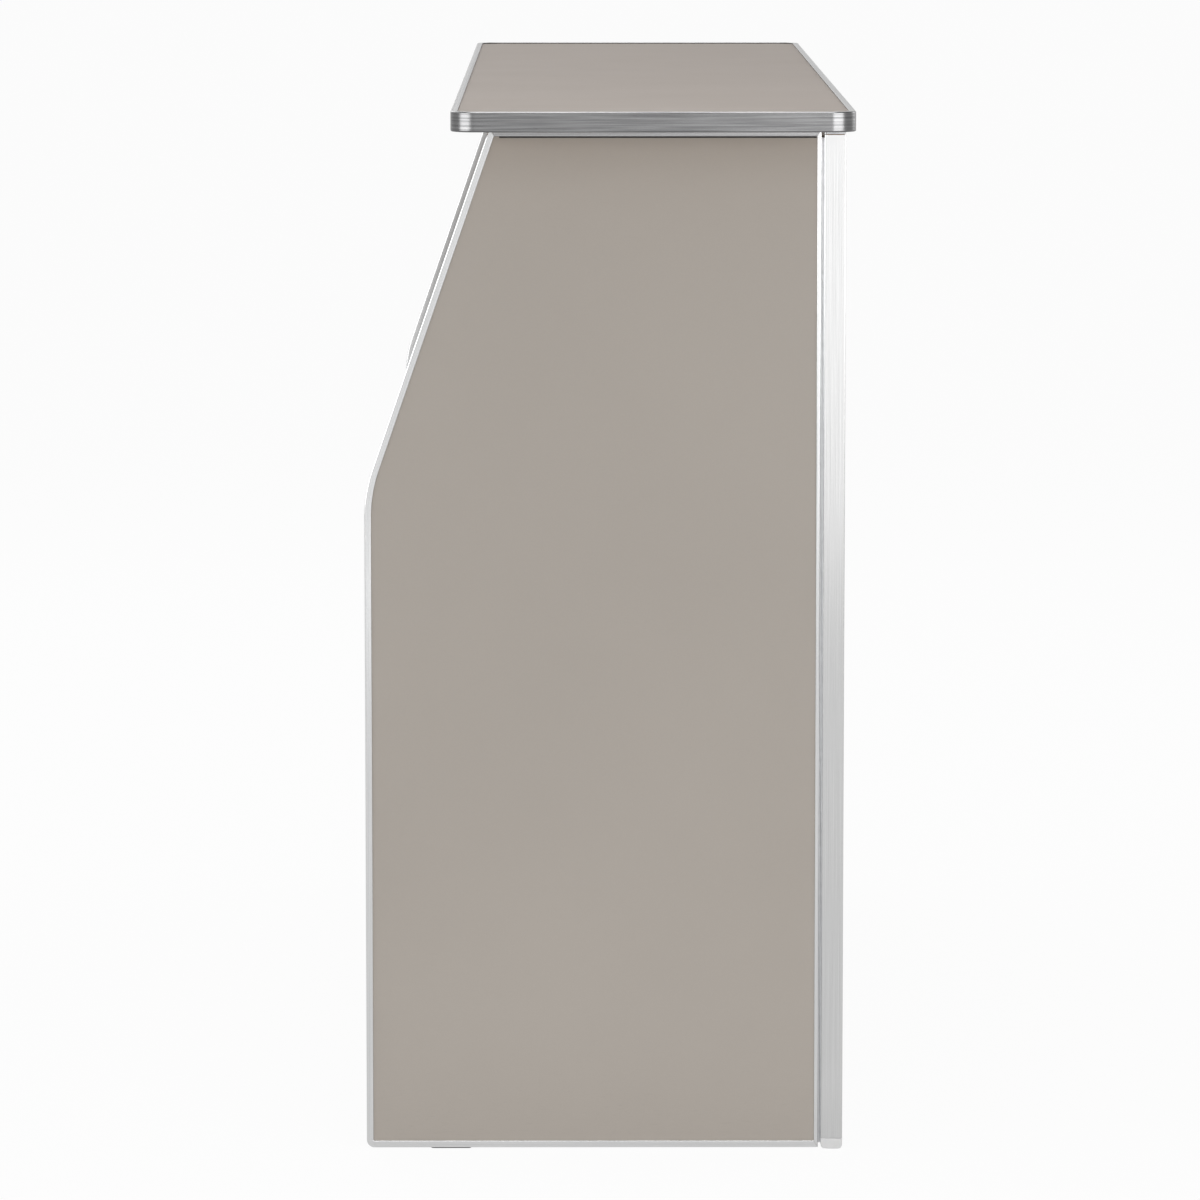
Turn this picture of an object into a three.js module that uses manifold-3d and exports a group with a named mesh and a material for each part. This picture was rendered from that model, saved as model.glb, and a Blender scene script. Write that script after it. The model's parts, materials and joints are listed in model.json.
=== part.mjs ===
// A folding portable bar: a front panel on two feet, two end panels that fold in behind it, a
// lift-off top, and two fold-up shelves carried by swing-out brackets.
// Millimetres, +Z up. X runs along the bar, the customers stand on the -Y side, and the origin
// lies on the floor under the middle of the whole bar.

import * as THREE from 'three';
import { mergeVertices } from 'three/addons/utils/BufferGeometryUtils.js';
import Module from 'manifold-3d';

const wasm = await Module();
wasm.setup();

// Overall sizes
const barHeight = 1067;
const topLength = 1829;
const topDepth = 406;
const topThickness = 20.5;
const topCornerRadius = 25;
const endOverhang = 76;
const frontOverhang = 7.5;

// Panels: a core board between two laminate sheets, its edges held in aluminium U channels
const panelThickness = 22;
const laminateThickness = 1;
const channelWall = 1.2;
const channelLip = 7;
const hingeSideLip = 4.2;
const overhangLip = 9;
const fitGap = 0.2;
const mitreGap = 0.3;
const seatGap = 0.3;

// Corner feet of the front panel
const footHeight = 11;
const footLength = 30;
const footRounding = 4.5;

// End panels: upright rear edge below, slanted forward above
const endDepth = 463;
const endTopDepth = 335;
const slantCornerHeight = 678;
const slantBendRadius = 150;
const heelRadius = 8;

// Glide pad under each end panel
const glideLength = 41;
const glideWidth = 14;
const glideThickness = 1.5;
const glideInset = 66;

// Continuous hinges between the front panel and the end panels
const hingeGap = 3;
const endHingeKnuckles = 12;
const endHingeLeaf = 1.35;
const endHingeKnuckleRadius = 2.4;
const endHingePinRadius = 1.2;
const endHingeBottom = 6.5;
const endHingeTopMargin = 10;
const endLeafMargin = 0.4;

// Shared by every hinge
const hingeClearance = 0.2;
const pinClearance = 0.25;
const knuckleEndPlay = 0.4;
const pinHeadThickness = 1;

// Dowels on the front panel that locate the top
const dowelInset = 238.5;
const dowelHeadRadius = 5;
const dowelHeadHeight = 11;
const dowelTaper = 2;
const dowelShankRadius = 3;
const dowelShankLength = 14;
const dowelClearance = 0.4;

// Turn catches under the top's rear overhang
const catchReach = 45;
const catchHalfWidth = 8;
const catchThickness = 2.6;
const catchPanelGap = 1.5;
const catchRearGap = 14.5;
const catchFlangeRadius = 7.5;
const catchFlangeThickness = 1.5;
const catchStemRadius = 3;
const catchHeadThickness = 1.2;
const catchPlay = 0.3;

// Fold-up shelves
const shelfEndClearance = 15.5;
const shelfThickness = 16;
const shelfWallGap = 1;
const lowerShelfHeight = 300;
const lowerShelfDepth = 285;
const upperShelfDrop = 307;
const upperShelfDepth = 230;

// Shelf hinges
const shelfHingeInset = 35;
const shelfHingeKnuckles = 9;
const shelfHingeLeaf = 1.5;
const shelfHingeLeafWidth = 25;
const shelfHingeKnuckleRadius = 2.8;
const shelfHingePinRadius = 1.4;

// Magnets that hold the raised shelves
const magnetLength = 50;
const magnetHeight = 16;
const magnetChamfer = 1.5;
const magnetInset = 40;
const magnetGap = 0.8;

// Swing-out shelf brackets and the plates that carry them
const bracketInset = 35;
const bracketHeight = 140;
const lowerBracketReach = 240;
const upperBracketReach = 185;
const bracketThickness = 3;
const bracketNose = 18;
const bracketRib = 15;
const bracketBarrelRadius = 5;
const bracketPinRadius = 2.5;
const bracketClearance = 1;
const bracketPlateWidth = 24;
const bracketPlateThickness = 2.5;
const earRadius = 7;
const earThickness = 3;
const earDrop = 0.5;

// How finely round shapes are faceted, and how far a cut runs past what it cuts
const roundSides = 12;
const arcStepAngle = Math.PI / 12;
const arcStepLength = 12;
const cutMargin = 1;

// Places worked out from the sizes above
const channelSkin = channelWall + fitGap;
const halfSpan = topLength / 2 - endOverhang;
const barDepth = frontOverhang + panelThickness + hingeGap + endDepth;
const topFront = -barDepth / 2;
const topRear = topFront + topDepth;
const frontOuter = topFront + frontOverhang;
const frontInner = frontOuter + panelThickness;
const endFront = frontInner + hingeGap;
const endRear = endFront + endDepth;
const wallFace = frontInner - channelSkin;
const topUnderside = barHeight - topThickness + channelSkin;
const panelTop = topUnderside - seatGap;
const panelBottom = glideThickness;

// Finishes
const laminate = { color: 0xb1aaa3, roughness: 0.45, metalness: 0 };
const aluminium = { color: 0xcfd1d3, roughness: 0.35, metalness: 1 };
const board = { color: 0xa88c68, roughness: 0.85, metalness: 0 };
const steel = { color: 0xb4b6b9, roughness: 0.3, metalness: 1 };
const palePlastic = { color: 0xd6d6d3, roughness: 0.5, metalness: 0 };
const darkPlastic = { color: 0x3a3a3a, roughness: 0.55, metalness: 0 };
const rubber = { color: 0x2a2928, roughness: 0.9, metalness: 0 };

// Local frames: a section is drawn in u and v and has its thickness along w
const alongX = new THREE.Vector3(1, 0, 0);
const alongY = new THREE.Vector3(0, 1, 0);
const alongZ = new THREE.Vector3(0, 0, 1);
const level = frameOf(alongX, alongY, alongZ);
const acrossBar = frameOf(alongY, alongZ, alongX);
const facingFront = frameOf(alongX, alongZ, alongY.clone().negate());

function frameOf(u, v, w) {
  const basis = new THREE.Matrix4().makeBasis(u, v, w);
  return new THREE.Quaternion().setFromRotationMatrix(basis);
}

function vector(u, v) {
  return new THREE.Vector2(u, v);
}

// A closed geometry as a solid that can be joined and cut
function solidOf(geometry) {
  geometry.deleteAttribute('normal');
  geometry.deleteAttribute('uv');
  const merged = mergeVertices(geometry);
  const vertProperties = new Float32Array(merged.attributes.position.array);
  const triVerts = new Uint32Array(merged.index.array);
  return new wasm.Manifold(new wasm.Mesh({ numProp: 3, vertProperties, triVerts }));
}

// A flat section given its thickness between two heights along w
function plate(outline, from, to) {
  const shape = new THREE.Shape(outline);
  const settings = { depth: Math.abs(to - from), bevelEnabled: false };
  const geometry = new THREE.ExtrudeGeometry(shape, settings);
  return solidOf(geometry.translate(0, 0, Math.min(from, to)));
}

// A round bar along w
function rod(radius, from, to) {
  const geometry = new THREE.CylinderGeometry(radius, radius, to - from, roundSides);
  return solidOf(geometry.rotateX(Math.PI / 2).translate(0, 0, (from + to) / 2));
}

// A round bar along v
function upright(radius, from, to) {
  const geometry = new THREE.CylinderGeometry(radius, radius, to - from, roundSides);
  return solidOf(geometry.translate(0, (from + to) / 2, 0));
}

// A profile of radius and height, turned about w
function turned(profile) {
  const geometry = new THREE.LatheGeometry(profile, roundSides);
  return solidOf(geometry.rotateX(Math.PI / 2));
}

function rectangle(u0, v0, u1, v1) {
  return [vector(u0, v0), vector(u1, v0), vector(u1, v1), vector(u0, v1)];
}

// How many facets an arc is divided into
function arcSteps(radius, turn) {
  return Math.ceil(Math.max(turn / arcStepAngle, (radius * turn) / arcStepLength));
}

// Points on an arc about a place on the u axis, turning anticlockwise
function arc(centreU, radius, startAngle, turn) {
  const steps = arcSteps(radius, turn);
  return Array.from({ length: steps + 1 }, (_, k) => {
    const angle = startAngle + (turn * k) / steps;
    return vector(centreU + radius * Math.cos(angle), radius * Math.sin(angle));
  });
}

// Each corner of an anticlockwise outline as the points of its rounding, or as itself
function roundedCorners(corners, radii) {
  return corners.map((corner, i) => {
    if (radii[i] === 0) return [corner];
    const back = corners.at(i - 1).clone().sub(corner).normalize();
    const onward = corners[(i + 1) % corners.length].clone().sub(corner).normalize();
    const halfAngle = Math.acos(back.dot(onward)) / 2;
    const turn = Math.PI - 2 * halfAngle;
    const steps = arcSteps(radii[i], turn);
    const start = back.clone().multiplyScalar(radii[i] / Math.tan(halfAngle)).add(corner);
    const bisector = back.clone().add(onward).normalize();
    const centre = bisector.multiplyScalar(radii[i] / Math.sin(halfAngle)).add(corner);
    return Array.from({ length: steps + 1 }, (_, k) =>
      start.clone().rotateAround(centre, (turn * k) / steps));
  });
}

// The points of an edge moved inwards, each along the bisector of its own corner
function movedIn(points, before, after, distance) {
  const path = [before, ...points, after];
  return points.map((point, i) => {
    const arriving = path[i + 1].clone().sub(path[i]).normalize();
    const leaving = path[i + 2].clone().sub(path[i + 1]).normalize();
    const bisector = vector(-arriving.y - leaving.y, arriving.x + leaving.x);
    return bisector.multiplyScalar(distance / (1 + arriving.dot(leaving))).add(point);
  });
}

function movedInAll(outline, distance) {
  return movedIn(outline, outline.at(-1), outline[0], distance);
}

function beyond(point, neighbour) {
  return point.clone().multiplyScalar(2).sub(neighbour);
}

// The strip of a panel's face beside one run of its edge, mitred where a neighbour is given
function edgeStrip(run, width) {
  const points = run.points;
  const before = run.before ?? beyond(points[0], points[1]);
  const after = run.after ?? beyond(points.at(-1), points.at(-2));
  const inner = movedIn(points, before, after, width);
  const outer = points.map((point) => point.clone());
  const startShift = points[1].clone().sub(points[0]).setLength(mitreGap / 2);
  const endShift = points.at(-2).clone().sub(points.at(-1)).setLength(mitreGap / 2);
  for (const side of [outer, inner]) {
    side[0].add(startShift);
    side[side.length - 1].add(endShift);
  }
  return [...outer, ...inner.reverse()];
}

// A U channel over one run of a panel's edge: a web on the edge and a lip on each face
function channel(run, outerFace, innerFace, lipWidth = channelLip) {
  const wall = Math.sign(innerFace - outerFace) * channelWall;
  const lip = edgeStrip(run, lipWidth);
  const web = plate(edgeStrip(run, channelWall), outerFace, innerFace);
  const outerLip = plate(lip, outerFace, outerFace + wall);
  const innerLip = plate(lip, innerFace - wall, innerFace);
  return web.add(outerLip).add(innerLip);
}

// The core board and its two laminate sheets, between the lips of the channels
function sheets(outline, outerFace, innerFace) {
  const inward = Math.sign(innerFace - outerFace);
  const outerSkin = outerFace + inward * channelSkin;
  const innerSkin = innerFace - inward * channelSkin;
  const outerCore = outerSkin + inward * laminateThickness;
  const innerCore = innerSkin - inward * laminateThickness;
  return {
    outerLaminate: plate(outline, outerSkin, outerCore),
    core: plate(outline, outerCore, innerCore),
    innerLaminate: plate(outline, innerCore, innerSkin),
  };
}

// One leaf of a hinge whose pin lies on w: its strip, every second knuckle, and their tabs
function hingeLeaf(hinge, strip, tab, firstKnuckle) {
  const pitch = hinge.length / hinge.knuckles;
  let leaf = plate(strip, 0, hinge.length);
  for (let i = firstKnuckle; i < hinge.knuckles; i += 2) {
    const from = i * pitch + knuckleEndPlay / 2;
    const to = (i + 1) * pitch - knuckleEndPlay / 2;
    leaf = leaf.add(plate(tab, from, to)).add(rod(hinge.knuckleRadius, from, to));
  }
  const bore = rod(hinge.pinRadius + pinClearance, -cutMargin, hinge.length + cutMargin);
  return leaf.subtract(bore);
}

// A leaf's strip runs along u with its back at v = -offset, and its tab joins it to the pin
function leafSection(hinge, offset, width) {
  const start = hinge.knuckleRadius + hingeClearance;
  const face = hinge.leaf - offset;
  return {
    strip: rectangle(start, -offset, width, face),
    tab: [vector(0, -hinge.leaf), vector(start, -offset), vector(start, face), vector(0, hinge.leaf)],
  };
}

function mirrored(outline) {
  return outline.map((point) => vector(-point.x, point.y));
}

function swapped(outline) {
  return outline.map((point) => vector(point.y, point.x));
}

function hingePin(hinge) {
  const headRadius = hinge.knuckleRadius;
  return turned([
    vector(0, -pinHeadThickness),
    vector(headRadius, -pinHeadThickness),
    vector(headRadius, 0),
    vector(hinge.pinRadius, 0),
    vector(hinge.pinRadius, hinge.length),
    vector(headRadius, hinge.length),
    vector(headRadius, hinge.length + pinHeadThickness),
    vector(0, hinge.length + pinHeadThickness),
  ]);
}

// A named piece in its own frame, with its own finish
function addPiece(group, name, solid, frame, finish, position = [0, 0, 0]) {
  const mesh = solid.getMesh();
  const geometry = new THREE.BufferGeometry();
  geometry.setAttribute('position', new THREE.BufferAttribute(mesh.vertProperties, mesh.numProp));
  geometry.setIndex(new THREE.BufferAttribute(mesh.triVerts, 1));
  geometry.computeVertexNormals();
  const piece = new THREE.Mesh(geometry, new THREE.MeshStandardMaterial(finish));
  piece.name = name;
  piece.quaternion.copy(frame);
  piece.position.set(...position);
  group.add(piece);
}

const sides = { left: -1, right: 1 };

// The hinge of an end panel, its pin just inside the corner of the two panels
const endHinge = {
  length: panelTop - endHingeTopMargin - endHingeBottom,
  knuckles: endHingeKnuckles,
  leaf: endHingeLeaf,
  knuckleRadius: endHingeKnuckleRadius,
  pinRadius: endHingePinRadius,
};
const endAxisOffset = endHingeKnuckleRadius + hingeClearance;
const endAxisX = halfSpan - panelThickness - endAxisOffset;
const endAxisY = frontInner + endAxisOffset;
const endLeafWidth = endAxisOffset + panelThickness - endLeafMargin;

// The shelves lie between the two end panels once these are folded in
const foldedReach = endRear - endAxisY;
const shelfHalfLength = endAxisX - foldedReach - shelfEndClearance;
const upperShelfHeight = barHeight - upperShelfDrop;
const shelfAxisOffset = shelfHingeKnuckleRadius + hingeClearance;
const bracketX = shelfHalfLength - bracketInset;
const bracketPivotOffset = bracketPlateThickness + bracketBarrelRadius + bracketClearance;
const dowelX = halfSpan - dowelInset;
const dowelY = frontOuter + panelThickness / 2;

// Front panel: the sheets, notched over the feet, and a channel on each edge, the top one full length
function frontPanel() {
  const group = new THREE.Group();
  const outerFace = -frontOuter;
  const innerFace = -frontInner;
  const notchX = halfSpan - footLength - fitGap;
  const notchZ = footHeight + fitGap;
  const sideX = halfSpan - channelSkin;
  const outline = [
    vector(-notchX, panelBottom + channelSkin),
    vector(notchX, panelBottom + channelSkin),
    vector(notchX, notchZ),
    vector(sideX, notchZ),
    vector(sideX, panelTop - channelSkin),
    vector(-sideX, panelTop - channelSkin),
    vector(-sideX, notchZ),
    vector(-notchX, notchZ),
  ];
  const parts = sheets(outline, outerFace, innerFace);

  const shankHoles = Object.values(sides).map((side) => {
    const radius = dowelShankRadius + dowelClearance;
    const hole = upright(radius, panelTop - dowelShankLength - dowelClearance, panelTop + cutMargin);
    return hole.translate([side * dowelX, 0, -dowelY]);
  });
  const drilled = (solid) => shankHoles.reduce((rest, hole) => rest.subtract(hole), solid);

  addPiece(group, 'front_board', drilled(parts.core), facingFront, board);
  addPiece(group, 'front_outer_laminate', parts.outerLaminate, facingFront, laminate);
  addPiece(group, 'front_inner_laminate', parts.innerLaminate, facingFront, laminate);

  const topLeft = vector(-halfSpan, panelTop);
  const topRight = vector(halfSpan, panelTop);
  const sideTop = panelTop - channelLip - mitreGap;
  const underTopLeft = vector(-halfSpan, sideTop);
  const underTopRight = vector(halfSpan, sideTop);
  const footLeft = vector(-halfSpan, footHeight);
  const footRight = vector(halfSpan, footHeight);
  const bottomLeft = vector(footLength - halfSpan, panelBottom);
  const bottomRight = vector(halfSpan - footLength, panelBottom);
  const runs = {
    front_top_channel: { points: [topRight, topLeft] },
    front_bottom_channel: { points: [bottomLeft, bottomRight] },
    front_left_channel: { points: [underTopLeft, footLeft] },
    front_right_channel: { points: [footRight, underTopRight] },
  };
  for (const [name, run] of Object.entries(runs)) {
    const solid = channel(run, outerFace, innerFace);
    const finished = name === 'front_top_channel' ? drilled(solid) : solid;
    addPiece(group, name, finished, facingFront, aluminium);
  }

  for (const [word, side] of Object.entries(sides)) {
    addPiece(group, `front_${word}_foot`, cornerFoot(side), acrossBar, palePlastic);
    addPiece(group, `${word}_hinge_front_leaf`, frontLeaf(side), level, steel,
      [side * endAxisX, endAxisY, endHingeBottom]);
    addPiece(group, `${word}_hinge_pin`, hingePin(endHinge), level, steel,
      [side * endAxisX, endAxisY, endHingeBottom]);
    addPiece(group, `${word}_locating_dowel`, locatingDowel(), level, aluminium,
      [side * dowelX, dowelY, panelTop]);
  }
  return group;
}

// A foot fills a lower corner of the front panel, rounded below, and stands on the floor
function cornerFoot(side) {
  const corners = rectangle(frontOuter, 0, frontInner, footHeight);
  const outline = roundedCorners(corners, [footRounding, footRounding, 0, 0]).flat();
  return plate(outline, side * (halfSpan - footLength), side * halfSpan);
}

// The fixed leaf lies on the channel's lip and is packed out to the laminate beside it
function frontLeaf(side) {
  const section = leafSection(endHinge, endAxisOffset, endLeafWidth);
  const lipEdge = endAxisOffset + panelThickness - channelLip - fitGap;
  const start = endHinge.knuckleRadius + hingeClearance;
  const packing = rectangle(start, -endAxisOffset - channelSkin, lipEdge, endHinge.leaf - endAxisOffset);
  const turnedOut = (outline) => (side > 0 ? outline : mirrored(outline));
  const leaf = hingeLeaf(endHinge, turnedOut(section.strip), turnedOut(section.tab), 0);
  const underTopLip = panelTop - channelLip - fitGap - endHingeBottom;
  const packingTop = Math.min(endHinge.length, underTopLip);
  const packingBottom = Math.max(0, footHeight + fitGap - endHingeBottom);
  return leaf.add(plate(turnedOut(packing), packingBottom, packingTop));
}

// A tapered dowel seated on the top channel, its shank through the web and into the board
function locatingDowel() {
  return turned([
    vector(0, -dowelShankLength),
    vector(dowelShankRadius, -dowelShankLength),
    vector(dowelShankRadius, 0),
    vector(dowelHeadRadius, 0),
    vector(dowelHeadRadius, dowelHeadHeight - dowelTaper),
    vector(dowelHeadRadius - dowelTaper, dowelHeadHeight),
    vector(0, dowelHeadHeight),
  ]);
}

// End panel: slanted above, upright below, with a rounded heel and a glide under it
function endPanel(word, side) {
  const group = new THREE.Group();
  const outerFace = side * halfSpan;
  const innerFace = side * (halfSpan - panelThickness);
  const corners = [
    vector(endFront, panelBottom),
    vector(endRear, panelBottom),
    vector(endRear, slantCornerHeight),
    vector(endFront + endTopDepth, panelTop),
    vector(endFront, panelTop),
  ];
  const [toe, heel, bend, peak, head] = roundedCorners(corners, [0, heelRadius, slantBendRadius, 0, 0]);
  const outline = [toe, heel, bend, peak, head].flat();
  const parts = sheets(movedInAll(outline, channelSkin), outerFace, innerFace);
  addPiece(group, `${word}_end_board`, parts.core, acrossBar, board);
  addPiece(group, `${word}_end_outer_laminate`, parts.outerLaminate, acrossBar, laminate);
  addPiece(group, `${word}_end_inner_laminate`, parts.innerLaminate, acrossBar, laminate);

  const runs = {
    bottom: { points: [toe[0], heel[0]], before: head[0], after: heel[1] },
    rear: { points: [...heel, ...bend, ...peak], before: toe[0], after: head[0] },
    top: { points: [peak[0], head[0]], before: bend.at(-1), after: toe[0] },
    front: { points: [head[0], toe[0]], before: peak[0], after: heel[0] },
  };
  for (const [edge, run] of Object.entries(runs)) {
    const lipWidth = { front: hingeSideLip, top: overhangLip }[edge] ?? channelLip;
    const solid = channel(run, outerFace, innerFace, lipWidth);
    addPiece(group, `${word}_end_${edge}_channel`, solid, acrossBar, aluminium);
  }

  const leafOffset = endAxisOffset + endHinge.leaf - hingeGap;
  const section = leafSection(endHinge, leafOffset, endLeafWidth);
  const turnedOut = (outline) => (side > 0 ? outline : mirrored(outline));
  const leaf = hingeLeaf(endHinge, turnedOut(section.strip), turnedOut(section.tab), 1);
  addPiece(group, `${word}_hinge_end_leaf`, leaf, level, steel,
    [side * endAxisX, endAxisY, endHingeBottom]);

  const glideRear = endRear - glideInset;
  const glideX = side * (halfSpan - panelThickness / 2);
  const glide = rectangle(glideRear - glideLength, 0, glideRear, glideThickness);
  const glideSolid = plate(glide, glideX - glideWidth / 2, glideX + glideWidth / 2);
  addPiece(group, `${word}_end_glide`, glideSolid, acrossBar, rubber);
  return group;
}

// Top: a board and its laminate inside a band of U channel with rounded corners
function barTop() {
  const group = new THREE.Group();
  const corners = rectangle(-topLength / 2, topFront, topLength / 2, topRear);
  const outline = roundedCorners(corners, corners.map(() => topCornerRadius)).flat();
  const bottom = barHeight - topThickness;
  const wallOutline = movedInAll(outline, channelWall);
  const lipOutline = movedInAll(outline, channelLip);
  const sheetOutline = movedInAll(outline, channelSkin);
  const groove = plate(wallOutline, bottom + channelWall, barHeight - channelWall);
  const window = plate(lipOutline, bottom - cutMargin, barHeight + cutMargin);
  const band = plate(outline, bottom, barHeight).subtract(groove).subtract(window);
  const sheetTop = barHeight - channelSkin;
  const boardTop = sheetTop - laminateThickness;
  let core = plate(sheetOutline, topUnderside, boardTop);
  for (const side of Object.values(sides)) {
    const radius = dowelHeadRadius + dowelClearance;
    const socket = rod(radius, topUnderside - cutMargin, panelTop + dowelHeadHeight + dowelClearance);
    core = core.subtract(socket.translate([side * dowelX, dowelY, 0]));
  }
  addPiece(group, 'top_board', core, level, board);
  addPiece(group, 'top_laminate', plate(sheetOutline, boardTop, sheetTop), level, laminate);
  addPiece(group, 'top_edge_band', band, level, aluminium);

  const pivotX = halfSpan - panelThickness - catchPanelGap - catchHalfWidth;
  const pivotY = endFront + endTopDepth + catchRearGap;
  for (const [word, side] of Object.entries(sides)) {
    const place = [side * pivotX, pivotY, topUnderside];
    addPiece(group, `${word}_catch_post`, catchPost(), level, steel, place);
    addPiece(group, `${word}_turn_catch`, turnCatch(side), level, darkPlastic, place);
  }
  return group;
}

// A flanged post under the top, with a head that keeps the catch on its stem
function catchPost() {
  const stemEnd = -catchFlangeThickness - catchThickness - 2 * catchPlay;
  return turned([
    vector(0, stemEnd - catchHeadThickness),
    vector(catchFlangeRadius, stemEnd - catchHeadThickness),
    vector(catchFlangeRadius, stemEnd),
    vector(catchStemRadius, stemEnd),
    vector(catchStemRadius, -catchFlangeThickness),
    vector(catchFlangeRadius, -catchFlangeThickness),
    vector(catchFlangeRadius, 0),
    vector(0, 0),
  ]);
}

// A round-ended arm, open at rest: it points in towards the middle of the bar
function turnCatch(side) {
  const tip = arc(catchReach - catchHalfWidth, catchHalfWidth, -Math.PI / 2, Math.PI);
  const hub = arc(0, catchHalfWidth, Math.PI / 2, Math.PI);
  const outline = [...tip, ...hub];
  const inward = side > 0 ? mirrored(outline) : outline;
  const top = -catchFlangeThickness - catchPlay;
  const bore = rod(catchStemRadius + catchPlay, top - catchThickness - cutMargin, top + cutMargin);
  return plate(inward, top - catchThickness, top).subtract(bore);
}

const shelfHinge = {
  length: 2 * (shelfHalfLength - shelfHingeInset),
  knuckles: shelfHingeKnuckles,
  leaf: shelfHingeLeaf,
  knuckleRadius: shelfHingeKnuckleRadius,
  pinRadius: shelfHingePinRadius,
};

// A shelf folds up on a hinge at the front panel's inner face and rests on two brackets
function foldingShelf(word, height, depth, reach) {
  const group = new THREE.Group();
  const front = wallFace + shelfWallGap;
  const rear = front + depth;
  const underside = height - shelfThickness;
  const slab = rectangle(-shelfHalfLength, front, shelfHalfLength, rear - channelSkin);
  addPiece(group, `${word}_shelf_board`, plate(slab, underside, height), level, laminate);

  const nosing = channel(
    { points: [vector(rear, -shelfHalfLength), vector(rear, shelfHalfLength)] },
    underside - channelSkin,
    height + channelSkin,
  );
  const quarterTurn = frameOf(alongY, alongX.clone().negate(), alongZ);
  addPiece(group, `${word}_shelf_nosing`, nosing, quarterTurn, aluminium);

  const axis = [-shelfHinge.length / 2, wallFace + shelfAxisOffset, height + shelfAxisOffset];
  const section = leafSection(shelfHinge, shelfAxisOffset, shelfHingeLeafWidth);
  const shelfLeaf = hingeLeaf(shelfHinge, section.strip, section.tab, 1);
  const wallLeaf = hingeLeaf(shelfHinge, swapped(section.strip), swapped(section.tab), 0);
  addPiece(group, `${word}_shelf_leaf`, shelfLeaf, acrossBar, steel, axis);
  addPiece(group, `${word}_shelf_wall_leaf`, wallLeaf, acrossBar, steel, axis);
  addPiece(group, `${word}_shelf_hinge_pin`, hingePin(shelfHinge), acrossBar, steel, axis);

  const magnetTop = height + shelfWallGap + depth - magnetInset;
  const magnetFace = wallFace + 2 * shelfAxisOffset - magnetGap;
  addPiece(group, `${word}_shelf_magnet`, shelfMagnet(magnetFace, magnetTop), acrossBar, palePlastic);

  for (const [hand, side] of Object.entries(sides)) {
    const bottom = underside - seatGap - bracketHeight;
    const pivot = [side * bracketX, wallFace + bracketPivotOffset, bottom];
    addPiece(group, `${word}_${hand}_bracket_plate`, bracketPlate(), level, aluminium, pivot);
    addPiece(group, `${word}_${hand}_bracket`, swingBracket(reach), acrossBar, aluminium, pivot);
  }
  return group;
}

// A magnet block on the wall that the raised shelf closes against
function shelfMagnet(face, top) {
  const outline = [
    vector(wallFace, top - magnetHeight),
    vector(face - magnetChamfer, top - magnetHeight),
    vector(face, top - magnetHeight + magnetChamfer),
    vector(face, top - magnetChamfer),
    vector(face - magnetChamfer, top),
    vector(wallFace, top),
  ];
  return plate(outline, -magnetLength / 2, magnetLength / 2);
}

// A wall plate with two ears, bored on the bracket's pivot
function bracketPlate() {
  const back = -bracketPivotOffset;
  const face = back + bracketPlateThickness;
  const strip = rectangle(-bracketPlateWidth / 2, back, bracketPlateWidth / 2, face);
  const ear = [vector(-earRadius, face), vector(earRadius, face), ...arc(0, earRadius, 0, Math.PI)];
  const upperEarTop = bracketHeight - earDrop;
  return plate(strip, 0, upperEarTop)
    .add(plate(ear, 0, earThickness))
    .add(plate(ear, upperEarTop - earThickness, upperEarTop))
    .subtract(rod(bracketPinRadius + pinClearance, -cutMargin, bracketHeight + cutMargin));
}

// A triangular bracket with its barrel between the ears and its pins through them
function swingBracket(reach) {
  const barrelBottom = earThickness + knuckleEndPlay;
  const barrelTop = bracketHeight - earDrop - earThickness - knuckleEndPlay;
  const notch = earRadius + bracketClearance;
  const strutStart = vector(notch, barrelBottom);
  const strutEnd = vector(reach, bracketHeight - bracketNose);
  const outline = [
    vector(0, barrelBottom),
    strutStart,
    strutEnd,
    vector(reach, bracketHeight),
    vector(notch, bracketHeight),
    vector(notch, barrelTop),
    vector(0, barrelTop),
  ];
  const strutSlope = (strutEnd.y - strutStart.y) / (strutEnd.x - strutStart.x);
  const apex = vector(notch + (bracketHeight - barrelBottom) / strutSlope, bracketHeight);
  const opening = movedInAll([strutStart, apex, vector(notch, bracketHeight)], bracketRib);
  const half = bracketThickness / 2;
  return plate(outline, -half, half)
    .subtract(plate(opening, -half - cutMargin, half + cutMargin))
    .add(upright(bracketBarrelRadius, barrelBottom, barrelTop))
    .add(upright(bracketPinRadius, 0, bracketHeight - earDrop));
}

const bar = new THREE.Group();
bar.add(frontPanel());
for (const [word, side] of Object.entries(sides)) {
  bar.add(endPanel(word, side));
}
bar.add(barTop());
bar.add(foldingShelf('upper', upperShelfHeight, upperShelfDepth, upperBracketReach));
bar.add(foldingShelf('lower', lowerShelfHeight, lowerShelfDepth, lowerBracketReach));

export default bar;
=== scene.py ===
import json
import math

import bmesh
import bpy
from mathutils import Matrix, Vector


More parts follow.
